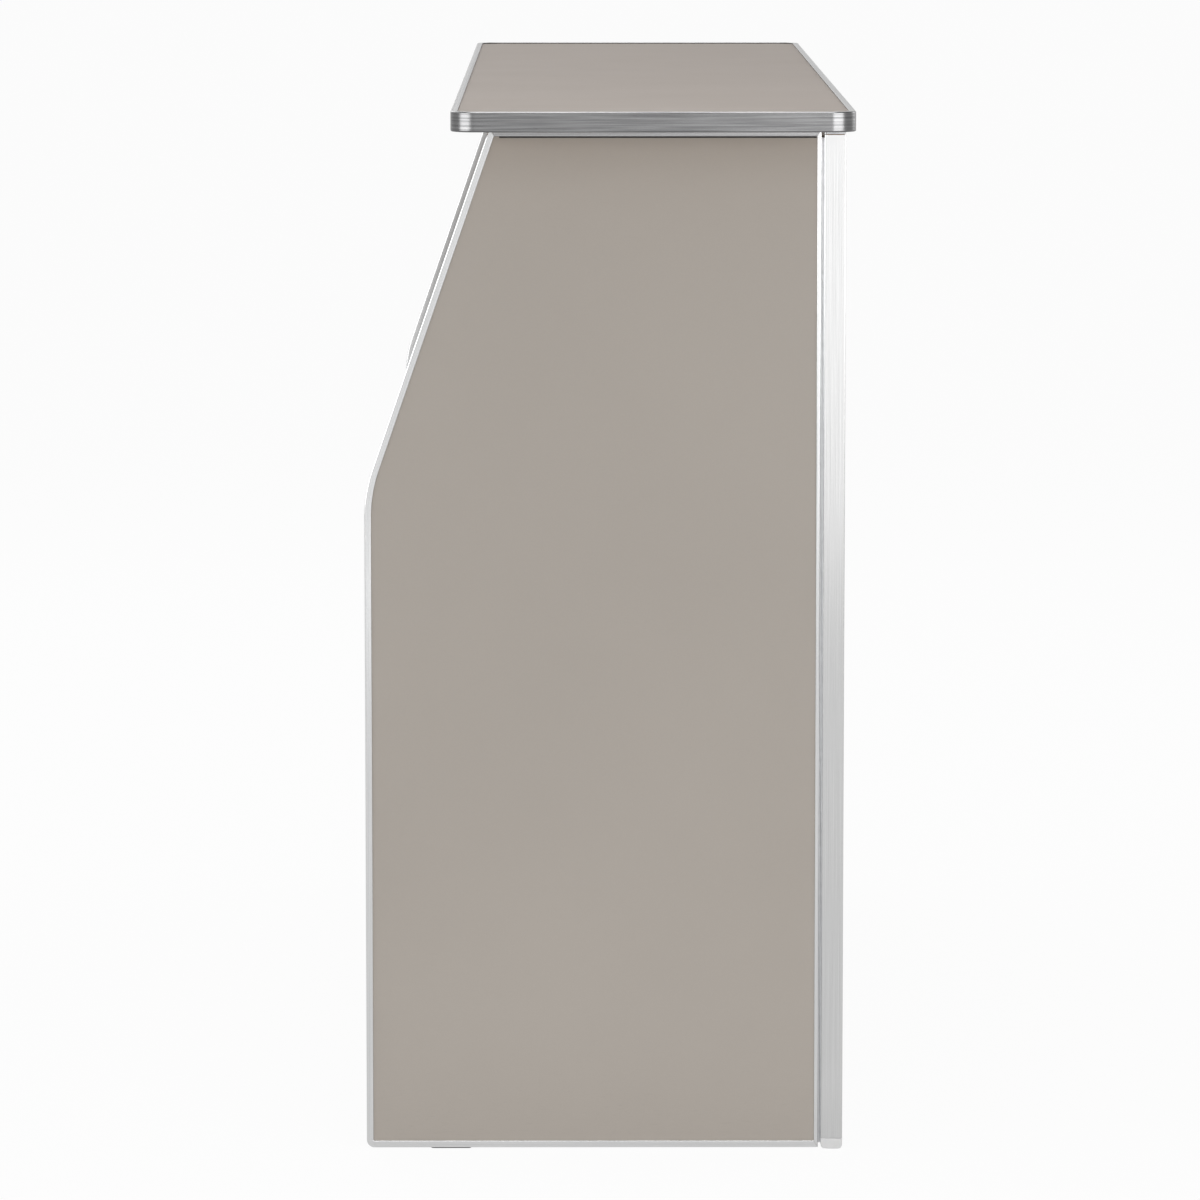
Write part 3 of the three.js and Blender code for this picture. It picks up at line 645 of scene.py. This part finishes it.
def end_hinges():
    knuckles = 64
    play = 0.0004
    radius = 0.0024
    pin = 0.0012
    cap = 0.001
    screws = 14
    screw_radius = 0.0028
    screw_rise = 0.00012
    leaf = 0.00135
    gap = 0.003
    start = radius + 0.0002
    for word, side in (("left", -1.0), ("right", 1.0)):
        pin_low, pin_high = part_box(f"{word}_hinge_pin")
        axis = (pin_low + pin_high) / 2
        bottom = pin_low.z + cap
        length = pin_high.z - pin_low.z - 2 * cap
        pitch = length / knuckles
        made = bmesh.new()
        lathed(made, pin_profile(pin, radius, length, cap),
               lambda u, v, w: (axis.x + u, axis.y + v, bottom + w), 20)
        mounted(eased(f"{word}_hinge_rod", made, steel_finish, None), "front_panel", "hinge",
                f"{word}_hinge_pin")
        for part, body, first in (("front", "front_panel", 0), ("end", f"{word}_end", 1)):
            name = f"{word}_hinge_{part}_leaf"
            low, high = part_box(name)
            back = axis.y - start + (gap - leaf if part == "end" else 0.0)
            face = back + leaf
            near = axis.x + side * start
            far = high.x if side > 0 else low.x
            made = bmesh.new()
            section = [(near, back), (far, back), (far, face), (near, face)]
            prism(made, section, lambda u, v, w: (u, v, w), low.z, high.z)
            if part == "front":
                packing_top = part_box("front_top_channel")[0].z - 0.0002
                packing_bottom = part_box(f"front_{word}_foot")[1].z + 0.0002
                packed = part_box(f"front_{word}_channel")
                lip = packed[0].x - 0.0002 if side > 0 else packed[1].x + 0.0002
                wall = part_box("front_inner_laminate")[1].y
                section = [(near, wall), (lip, wall), (lip, back), (near, back)]
                prism(made, section, lambda u, v, w: (u, v, w), packing_bottom, packing_top)
            mounted(eased(f"{name}_strip", made, steel_finish, 0.0002, 2), body, "hinge", name)

            made = bmesh.new()
            section = keyhole(radius, face - axis.y, back - axis.y, abs(near - axis.x) + 0.0002)
            prism(made, section, lambda u, v, w: (side * u, v, w), play / 2, pitch - play / 2)
            spot = (axis.x, axis.y, bottom + first * pitch)
            curls = row_of(f"{name}_knuckles", made, knuckles // 2, spot, (0, 0, 2 * pitch), steel_finish)
            mounted(curls, body, "hinge")

            made = bmesh.new()
            turn = 1.0 if part == "front" else -1.0
            screw(made, screw_radius, screw_rise, 0.0002, lambda u, v, w: (u, turn * w, v))
            step = (length - 0.06) / (screws - 1)
            spot = (near + side * 0.011, face if part == "front" else back, bottom + 0.03)
            heads = row_of(f"{name}_screws", made, screws, spot, (0, 0, step), steel_finish)
            mounted(heads, body, "hinge")


end_hinges()


# A thin plated steel plug closes each open end of the front panel's top channel, pressed in flush
# with the cut metal, so that no raw board shows above the upright channels.
def channel_plugs():
    fit = 0.0004
    corner = 0.0010
    thickness = 0.0011
    low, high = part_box("front_top_channel")
    lower = low.z + fit
    upper = high.z - channel_wall - fit
    front = low.y + channel_wall + fit
    rear = high.y - channel_wall - fit
    section = [
        (front, lower), (rear, lower),
        *arc((rear - corner, upper - corner), corner, 0.0, math.pi / 2, 5),
        *arc((front + corner, upper - corner), corner, math.pi / 2, math.pi / 2, 5),
    ]
    for word, end, inward in (("left", low.x, 1.0), ("right", high.x, -1.0)):
        made = bmesh.new()
        prism(made, section, lambda u, v, w: (w, u, v), end, end + inward * thickness)
        mounted(eased(f"front_{word}_channel_plug", made, steel_finish, 0.0002), "front_panel", "hinge")


channel_plugs()


# Two turned aluminium dowels are pressed into the front panel's top edge; the lift-off top drops
# over them, so their heads are tapered to find the sockets.
def turned_aluminium(name, bright, dull):
    material, tree, shader = new_material(name)
    coords = node(tree, "ShaderNodeTexCoord").outputs["Object"]
    rings = noise(tree, stretched(tree, coords, (40.0, 40.0, 2600.0)), 1.0, 3.0)
    tree.links.new(blended(tree, rings, dull, bright, 0.35, 0.65), shader.inputs["Base Color"])
    tree.links.new(ranged(tree, rings, 0.42, 0.26), shader.inputs["Roughness"])
    shader.inputs["Metallic"].default_value = 1.0
    bumped(tree, shader, rings, 0.1, 0.0001)
    return material


turned_finish = turned_aluminium("turned_aluminium", (0.84, 0.845, 0.85), (0.70, 0.705, 0.715))


def locating_dowels():
    shank = 0.003
    taper = 0.002
    collar = 0.0004
    for word in ("left", "right"):
        name = f"{word}_locating_dowel"
        low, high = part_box(name)
        centre = (low + high) / 2
        head = (high.x - low.x) / 2
        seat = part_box("front_top_channel")[1].z
        profile = [
            (0.0, low.z), (shank - collar, low.z), (shank, low.z + collar), (shank, seat),
            (head - collar, seat), (head, seat + collar), (head, high.z - taper),
            *[(head - taper + taper * math.cos(a), high.z - taper + taper * math.sin(a))
              for a in (math.pi / 8, math.pi / 4, 3 * math.pi / 8)],
            (head - taper, high.z), (0.0, high.z),
        ]
        made = bmesh.new()
        lathed(made, profile, lambda u, v, w: (centre.x + u, centre.y + v, w))
        mounted(eased(f"{word}_dowel_turning", made, turned_finish, None), "front_panel", "edging", name)


locating_dowels()


# Each end panel is the same pack of fibreboard and laminate, cut with a slanted upper rear edge
# that lets the bartender lean in; one length of channel is bent round its heel and its bend, the
# others are mitred to it, and the upper one is a darker copy: painted shade for its lip under the top.
refinished(["left_end_board", "right_end_board"], core_finish)
# A darker copy of the channel aluminium: painted shade for the top lip that sits under the overhang.
lip_shade_finish = brushed_aluminium(
    "lip_shade_aluminium", (0.36, 0.36, 0.362), (0.29, 0.29, 0.292), 0.22, 5.0, 900.0)
end_sheets = [f"{w}_end_{f}_laminate" for w in ("left", "right") for f in ("outer", "inner")]
refinished(end_sheets, panel_finish)


def rounded_corner(before, corner, after, radius, steps):
    back = (before - corner).normalized()
    onward = (after - corner).normalized()
    half = back.angle(onward) / 2
    start = corner + back * (radius / math.tan(half))
    centre = corner + (back + onward).normalized() * (radius / math.sin(half))
    turn = math.pi - 2 * half
    spoke = start - centre
    return [centre + Matrix.Rotation(turn * k / steps, 2) @ spoke for k in range(steps + 1)]


def mitre(own_lip, next_lip, corner):
    return (next_lip + own_lip * math.cos(corner)) / (own_lip * math.sin(corner))


def end_channels():
    bend_height = 0.678
    bend_radius = 0.150
    heel_radius = 0.008
    joint_gap = 0.00015
    facing_out = (-1.0, 0.0, 0.0)
    for word in ("left", "right"):
        low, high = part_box(f"{word}_end_rear_channel")
        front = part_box(f"{word}_end_front_channel")[0].y
        peak_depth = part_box(f"{word}_end_top_channel")[1].y + joint_gap
        bottom = low.z
        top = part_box(f"{word}_end_top_channel")[1].z
        middle = (low.x + high.x) / 2
        toe = Vector((front, bottom))
        heel = Vector((high.y, bottom))
        bend = Vector((high.y, bend_height))
        peak = Vector((peak_depth, top))
        head = Vector((front, top))
        heel_arc = rounded_corner(toe, heel, bend, heel_radius, 14)
        bend_arc = rounded_corner(heel, bend, peak, bend_radius, 20)
        front_low, front_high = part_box(f"{word}_end_front_channel")
        top_low, top_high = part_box(f"{word}_end_top_channel")
        front_lip = front_high.y - front_low.y
        top_lip = top_high.z - top_low.z
        peak_angle = (bend - peak).angle(head - peak)
        runs = {
            "bottom": ([toe, heel_arc[0]], channel_lip, (front_lip / channel_lip, 0.0)),
            "rear": ([*heel_arc, *bend_arc, peak], channel_lip,
                     (0.0, mitre(channel_lip, top_lip, peak_angle))),
            "top": ([peak, head], top_lip, (mitre(top_lip, channel_lip, peak_angle), front_lip / top_lip)),
            "front": ([head, toe], front_lip, (top_lip / front_lip, channel_lip / front_lip)),
        }
        for edge, (run, lip, mitres) in runs.items():
            run[0] = run[0] + (run[1] - run[0]).normalized() * joint_gap
            run[-1] = run[-1] + (run[-2] - run[-1]).normalized() * joint_gap
            points = [(middle, p.x, p.y) for p in run]
            finish = lip_shade_finish if edge == "top" else edging_finish
            channel(f"{word}_end_{edge}_channel", points, facing_out, high.x - low.x, mitres,
                    f"{word}_end", finish, lip)


end_channels()


# A thin rubber glide is glued under each end panel, so that the panel can be swung out over the
# floor without scratching it.
def glide_rubber():
    material, tree, shader = new_material("glide_rubber")
    coords = node(tree, "ShaderNodeTexCoord").outputs["Object"]
    crumb = noise(tree, coords, 1100.0, 3.0)
    tree.links.new(blended(tree, crumb, (0.018, 0.018, 0.018), (0.05, 0.049, 0.047), 0.35, 0.75),
                   shader.inputs["Base Color"])
    tree.links.new(ranged(tree, crumb, 0.95, 0.75), shader.inputs["Roughness"])
    bumped(tree, shader, crumb, 0.35, 0.0003)
    return material


glide_finish = glide_rubber()


# Under each end panel's top lip, on both faces, runs a thin dark rubber bead: painted shadow, a dark strip put
# where the lip and the top's overhang cast their shade.
def lip_shadow_beads():
    bead = 0.0008
    for word in ("left", "right"):
        lip_low, lip_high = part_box(f"{word}_end_top_channel")
        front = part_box(f"{word}_end_front_channel")[1].y + bead
        rear = lip_high.y - 0.0095
        low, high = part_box(f"{word}_end_outer_laminate")
        faces = {"outer": low.x if word == "left" else high.x}
        low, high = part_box(f"{word}_end_inner_laminate")
        faces["inner"] = high.x if word == "left" else low.x
        for part, face in faces.items():
            outward = 1.0 if (part == "outer") == (word == "right") else -1.0
            height = lip_low.z - bead
            section = [(face + outward * 0.6 * v, height + u) for u, v in arc((0.0, 0.0), bead, 0.0, math.pi, 8)]
            made = bmesh.new()
            prism(made, section, lambda u, v, w: (u, w, v), front, rear)
            mounted(eased(f"{word}_end_{part}_shadow_bead", made, glide_finish, None), f"{word}_end", "glide")


lip_shadow_beads()


def end_glides():
    corner = 0.003
    for word in ("left", "right"):
        name = f"{word}_end_glide"
        low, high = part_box(name)
        section = []
        places = ((high.x, high.y), (low.x, high.y), (low.x, low.y), (high.x, low.y))
        for quarter, (x, y) in enumerate(places):
            centre = (x + (corner if x == low.x else -corner), y + (corner if y == low.y else -corner))
            section += arc(centre, corner, quarter * math.pi / 2, math.pi / 2, 5)
        made = bmesh.new()
        prism(made, section, lambda u, v, w: (u, v, w), low.z, high.z)
        mounted(eased(name + "_pad", made, glide_finish, 0.0003, 2, 50.0), f"{word}_end", "glide", name)


end_glides()


# The lift-off top is a board faced with the same laminate, in a band of the same U channel bent
# round four corners in one length; the band is brushed more coarsely than the panel edging.
refinished(["top_board"], core_finish)
top_finish = taupe_laminate("top_laminate", (0.445, 0.395, 0.357), 0.02)
refinished(["top_laminate"], top_finish)
# The band's aluminium is a much darker copy of the channel aluminium: painted shade standing in for the dark
# surroundings the brushed band mirrors.
shaded_band_finish = brushed_aluminium(
    "shaded_band_aluminium", (0.236, 0.236, 0.238), (0.134, 0.134, 0.136), 0.25, 0.8, 430.0)


def top_band():
    corner_radius = 0.025
    band_rounding = 0.0015
    facing_down = (0.0, 0.0, -1.0)
    low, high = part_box("top_edge_band")
    corners = [Vector(c) for c in (
        (low.x, low.y), (high.x, low.y), (high.x, high.y), (low.x, high.y))]
    outline = []
    for k, corner in enumerate(corners):
        outline += rounded_corner(corners[k - 1], corner, corners[(k + 1) % 4], corner_radius, 18)
    points = [(p.x, p.y, (low.z + high.z) / 2) for p in outline]
    channel("top_edge_band", points, facing_down, high.z - low.z, (0.0, 0.0), "top", shaded_band_finish,
            channel_lip, band_rounding, True)


top_band()


# Under the top's rear edge a plastic turn catch swings on a flanged steel post at each end; its
# round-ended arm turns across the end panel and keeps it square to the front.
catch_finish = moulded_plastic("catch_plastic", (0.040, 0.040, 0.041), 0.46, 800.0)


def catches():
    for word, side in (("left", -1.0), ("right", 1.0)):
        name = f"{word}_catch_post"
        low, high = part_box(name)
        centre = (low + high) / 2
        flange = (high.x - low.x) / 2
        arm_low, arm_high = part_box(f"{word}_turn_catch")
        stem = 0.003
        play = 0.0003
        edge = 0.0005
        head = arm_low.z - play
        seat = arm_high.z + play
        profile = [
            (0.0, low.z), (flange - edge, low.z), (flange, low.z + edge), (flange, head),
            (stem, head), (stem, seat), (flange - edge, seat), (flange, seat + edge),
            (flange, high.z), (0.0, high.z),
        ]
        made = bmesh.new()
        lathed(made, profile, lambda u, v, w: (centre.x + u, centre.y + v, w))
        mounted(eased(name + "_turning", made, steel_finish, None), "top", "hinge", name)

        name = f"{word}_turn_catch"
        low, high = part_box(name)
        half = (high.y - low.y) / 2
        reach = high.x - low.x - 2 * half
        bore = 0.0033
        tip = arc((reach, 0.0), half, -math.pi / 2, math.pi, 14)
        hub = arc((0.0, 0.0), half, math.pi / 2, math.pi, 14)
        outer = [*tip, *hub]
        inner = arc((0.0, 0.0), bore, 0.0, 2 * math.pi, 20)[:-1]
        made = bmesh.new()
        loops = []
        for ring in (outer, inner):
            verts = [made.verts.new((centre.x - side * u, centre.y + v, low.z)) for u, v in ring]
            loops += [made.edges.new((verts[k], verts[(k + 1) % len(verts)])) for k in range(len(verts))]
        filled = bmesh.ops.triangle_fill(made, edges=loops, use_beauty=True)["geom"]
        faces = [f for f in filled if isinstance(f, bmesh.types.BMFace)]
        lifted = bmesh.ops.extrude_face_region(made, geom=faces)["geom"]
        moved = [v for v in lifted if isinstance(v, bmesh.types.BMVert)]
        bmesh.ops.translate(made, verts=moved, vec=(0.0, 0.0, high.z - low.z))
        mounted(eased(name + "_arm", made, catch_finish, 0.0007, 3), f"{word}_catch", "catch", name)


catches()


# Two laminate-faced shelves fold up against the front panel; each has an aluminium nosing along
# its free edge, and its laminate is eased along the other edges and at both ends.
shelf_finish = taupe_laminate("shelf_laminate", (0.455, 0.415, 0.376), 0.2)


def shelves():
    facing_up = (0.0, 0.0, 1.0)
    for word in ("upper", "lower"):
        name = f"{word}_shelf_board"
        low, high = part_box(name)
        section = [(low.y, low.z), (high.y, low.z), (high.y, high.z), (low.y, high.z)]
        made = bmesh.new()
        prism(made, section, lambda u, v, w: (w, u, v), low.x, high.x)
        mounted(eased(name + "_slab", made, shelf_finish, 0.0006, 2), f"{word}_shelf", "shelf", name)
        name = f"{word}_shelf_nosing"
        low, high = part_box(name)
        middle = (low.z + high.z) / 2
        run = [(low.x, high.y, middle), (high.x, high.y, middle)]
        channel(name, run, facing_up, high.z - low.z, (0.0, 0.0), f"{word}_shelf", edging_finish)


shelves()


# The shelf hinges are heavier than the corner hinges: a leaf on the wall, a leaf on the shelf,
# a pin between them, and a row of countersunk screws in each leaf.
def shelf_hinges():
    knuckles = 29
    play = 0.0005
    radius = 0.0028
    pin = 0.0014
    cap = 0.001
    leaf = 0.0015
    screws = 7
    for word in ("upper", "lower"):
        pin_low, pin_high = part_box(f"{word}_shelf_hinge_pin")
        axis = (pin_low + pin_high) / 2
        start = pin_low.x + cap
        length = pin_high.x - pin_low.x - 2 * cap
        pitch = length / knuckles
        made = bmesh.new()
        lathed(made, pin_profile(pin, radius, length, cap),
               lambda u, v, w: (start + w, axis.y + u, axis.z + v), 20)
        mounted(eased(f"{word}_shelf_hinge_rod", made, steel_finish, None), "front_panel", "hinge",
                f"{word}_shelf_hinge_pin")
        for part, body, first in (("wall_leaf", "front_panel", 0), ("leaf", f"{word}_shelf", 1)):
            name = f"{word}_shelf_{part}"
            low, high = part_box(name)
            upright = part == "wall_leaf"

            def laid(u, v, w):
                return (w, axis.y + v, axis.z + u) if upright else (w, axis.y + u, axis.z + v)

            back = (low.y - axis.y) if upright else (low.z - axis.z)
            far = (high.z - axis.z) if upright else (high.y - axis.y)
            near = radius + 0.0002
            made = bmesh.new()
            section = [(near, back), (far, back), (far, back + leaf), (near, back + leaf)]
            prism(made, section, laid, low.x, high.x)
            mounted(eased(f"{name}_strip", made, steel_finish, 0.0003, 2), body, "hinge", name)

            made = bmesh.new()
            section = keyhole(radius, back + leaf, back, near + 0.0003)
            prism(made, section, laid, start + play / 2, start + pitch - play / 2)
            count = knuckles // 2 + (1 - first)
            spot = (first * pitch, 0, 0)
            curls = row_of(f"{name}_knuckles", made, count, spot, (2 * pitch, 0, 0), steel_finish)
            mounted(curls, body, "hinge")

            made = bmesh.new()
            middle = (near + far) / 2

            def set_in(u, v, w):
                return laid(middle + u, back + leaf + w, start + 0.03 + v)

            screw(made, 0.0038, 0.0004, 0.0003, set_in)
            step = ((length - 0.06) / (screws - 1), 0, 0)
            heads = row_of(f"{name}_screws", made, screws, (0, 0, 0), step, steel_finish)
            mounted(heads, body, "hinge")


shelf_hinges()


# A magnet in a pale plastic case waits on the wall for each raised shelf: two steel pole strips
# show in its face, and a screw at each end holds it.
def shelf_magnets():
    for word in ("upper", "lower"):
        name = f"{word}_shelf_magnet"
        low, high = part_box(name)
        section = [(low.y, low.z), (high.y, low.z), (high.y, high.z), (low.y, high.z)]
        made = bmesh.new()
        prism(made, section, lambda u, v, w: (w, u, v), low.x, high.x)
        mounted(eased(name + "_case", made, foot_finish, 0.0012, 3), "front_panel", "foot", name)

        half = 0.010
        middle = (low.z + high.z) / 2
        strip = [(high.y - 0.001, -0.001), (high.y + 0.0002, -0.001), (high.y + 0.0002, 0.001),
                 (high.y - 0.001, 0.001)]
        made = bmesh.new()
        prism(made, strip, lambda u, v, w: (w, u, v), -half, half)
        poles = row_of(name + "_poles", made, 2, (0, 0, middle - 0.0025), (0, 0, 0.005), steel_finish)
        mounted(poles, "front_panel", "hinge")

        made = bmesh.new()
        screw(made, 0.003, 0.0003, 0.0002, lambda u, v, w: (u, high.y + w, v))
        heads = row_of(name + "_screws", made, 2, (-0.018, 0, middle), (0.036, 0, 0), steel_finish)
        mounted(heads, "front_panel", "hinge")


shelf_magnets()


# Each shelf rests on two swing-out brackets: a triangular aluminium plate with a rounded window,
# fused to a barrel whose pins turn in the ears of a plate screwed to the front panel.
bracket_finish = hinge_steel("bracket_aluminium", (0.80, 0.805, 0.81), 0.36)


def fused(name, shells, material, edge):
    objects = []
    for shell in shells:
        bmesh.ops.recalc_face_normals(shell, faces=shell.faces)
        mesh = bpy.data.meshes.new(name)
        shell.to_mesh(mesh)
        shell.free()
        part = bpy.data.objects.new(name, mesh)
        scene.collection.objects.link(part)
        objects.append(part)
    for part in objects[1:]:
        union = objects[0].modifiers.new("join", "BOOLEAN")
        union.operation = "UNION"
        union.solver = "EXACT"
        union.object = part
    bpy.context.view_layer.update()
    graph = bpy.context.evaluated_depsgraph_get()
    mesh = bpy.data.meshes.new_from_object(objects[0].evaluated_get(graph), depsgraph=graph)
    for part in objects:
        bpy.data.objects.remove(part)
    made = bmesh.new()
    made.from_mesh(mesh)
    bpy.data.meshes.remove(mesh)
    bmesh.ops.remove_doubles(made, verts=made.verts, dist=1e-6)
    bmesh.ops.dissolve_limit(made, angle_limit=math.radians(1), verts=made.verts, edges=made.edges)
    return eased(name, made, material, edge, 2, 40.0)


def filled_plate(rings, place, start, end):
    made = bmesh.new()
    loops = []
    for ring in rings:
        verts = [made.verts.new(place(u, v, start)) for u, v in ring]
        loops += [made.edges.new((verts[k], verts[(k + 1) % len(verts)])) for k in range(len(verts))]
    filled = bmesh.ops.triangle_fill(made, edges=loops, use_beauty=True)["geom"]
    faces = [f for f in filled if isinstance(f, bmesh.types.BMFace)]
    lifted = bmesh.ops.extrude_face_region(made, geom=faces)["geom"]
    moved = [v for v in lifted if isinstance(v, bmesh.types.BMVert)]
    shift = Vector(place(0.0, 0.0, end)) - Vector(place(0.0, 0.0, start))
    bmesh.ops.translate(made, verts=moved, vec=shift)
    return made


def rounded_ring(corners, radii, steps):
    ring = []
    for k, (corner, radius) in enumerate(zip(corners, radii)):
        if radius:
            after = corners[(k + 1) % len(corners)]
            ring += [tuple(p) for p in rounded_corner(corners[k - 1], corner, after, radius, steps)]
        else:
            ring.append(tuple(corner))
    return ring


def brackets():
    ear_radius = 0.007
    ear = 0.003
    play = 0.0004
    notch = ear_radius + 0.001
    nose = 0.018
    rib = 0.015
    barrel = 0.005
    pin = 0.0025
    half = 0.0015
    plate = 0.0025
    height = 0.140
    ear_drop = 0.0005
    for joint in frame["joints"]:
        if not joint["name"].endswith("bracket_swing"):
            continue
        word = joint["name"].removesuffix("_swing")
        plate_low, plate_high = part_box(f"{word}_plate")
        low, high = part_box(word)
        pivot = Vector(((plate_low.x + plate_high.x) / 2, plate_high.y - ear_radius, plate_low.z))
        reach = high.y - pivot.y

        def standing(u, v, w):
            return (pivot.x + w, pivot.y + u, pivot.z + v)

        def lying(u, v, w):
            return (pivot.x + u, pivot.y + v, pivot.z + w)

        top = height - ear_drop
        foot = ear + play
        barrel_top = top - ear - play
        strut_start = Vector((notch, foot))
        strut_end = Vector((reach, height - nose))
        corners = [Vector(c) for c in (
            (0.0, foot), strut_start, strut_end, (reach, height), (notch, height),
            (notch, barrel_top), (0.0, barrel_top))]
        outer = rounded_ring(corners, [0, 0, 0.006, 0.004, 0.002, 0, 0], 6)
        slope = (strut_end.y - strut_start.y) / (strut_end.x - strut_start.x)
        lean = math.hypot(1.0, slope)
        window_left = notch + rib
        window_top = height - rib
        rise = foot + rib * lean - notch * slope
        window = [Vector((window_left, rise + slope * window_left)),
                  Vector(((window_top - rise) / slope, window_top)),
                  Vector((window_left, window_top))]
        inner = rounded_ring(window, [0.010, 0.006, 0.008], 7)
        web = filled_plate([outer, inner], standing, -half, half)
        drum = bmesh.new()
        chamfer = 0.0005
        lathed(drum, [
            (0.0, 0.0), (pin, 0.0), (pin, foot), (barrel - chamfer, foot), (barrel, foot + chamfer),
            (barrel, barrel_top - chamfer), (barrel - chamfer, barrel_top), (pin, barrel_top),
            (pin, top), (0.0, top)], lying, 28)
        arm = fused(f"{word}_casting", [web, drum], bracket_finish, 0.0004)
        mounted(arm, f"{word}_arm", "edging", word)

        back = plate_low.y - pivot.y
        wing = (plate_high.x - plate_low.x) / 2
        shells = [bmesh.new()]
        corners = [Vector(c) for c in ((-wing, 0.0), (wing, 0.0), (wing, top), (-wing, top))]
        strip = rounded_ring(corners, [0.003] * 4, 5)
        prism(shells[0], strip, lambda u, v, w: lying(u, w, v), back, back + plate)
        bore = arc((0.0, 0.0), pin + 0.00025, 0.0, 2 * math.pi, 24)[:-1]
        lug = [(-ear_radius, back + plate / 2), (ear_radius, back + plate / 2),
               *arc((0.0, 0.0), ear_radius, 0.0, math.pi, 16)]
        for level in (0.0, top - ear):
            shells.append(filled_plate([lug, bore], lying, level, level + ear))
        carrier = fused(f"{word}_plate_pressing", shells, bracket_finish, 0.0003)
        mounted(carrier, "front_panel", "edging", f"{word}_plate")

        made = bmesh.new()
        for side in (-1.0, 1.0):
            screw(made, 0.0032, 0.0004, 0.0003,
                  lambda u, v, w: lying(side * 0.0088 + u, back + plate + w, v))
        heads = row_of(f"{word}_plate_screws", made, 2, (0, 0, 0.035), (0, 0, 0.07), steel_finish)
        mounted(heads, "front_panel", "hinge")


brackets()
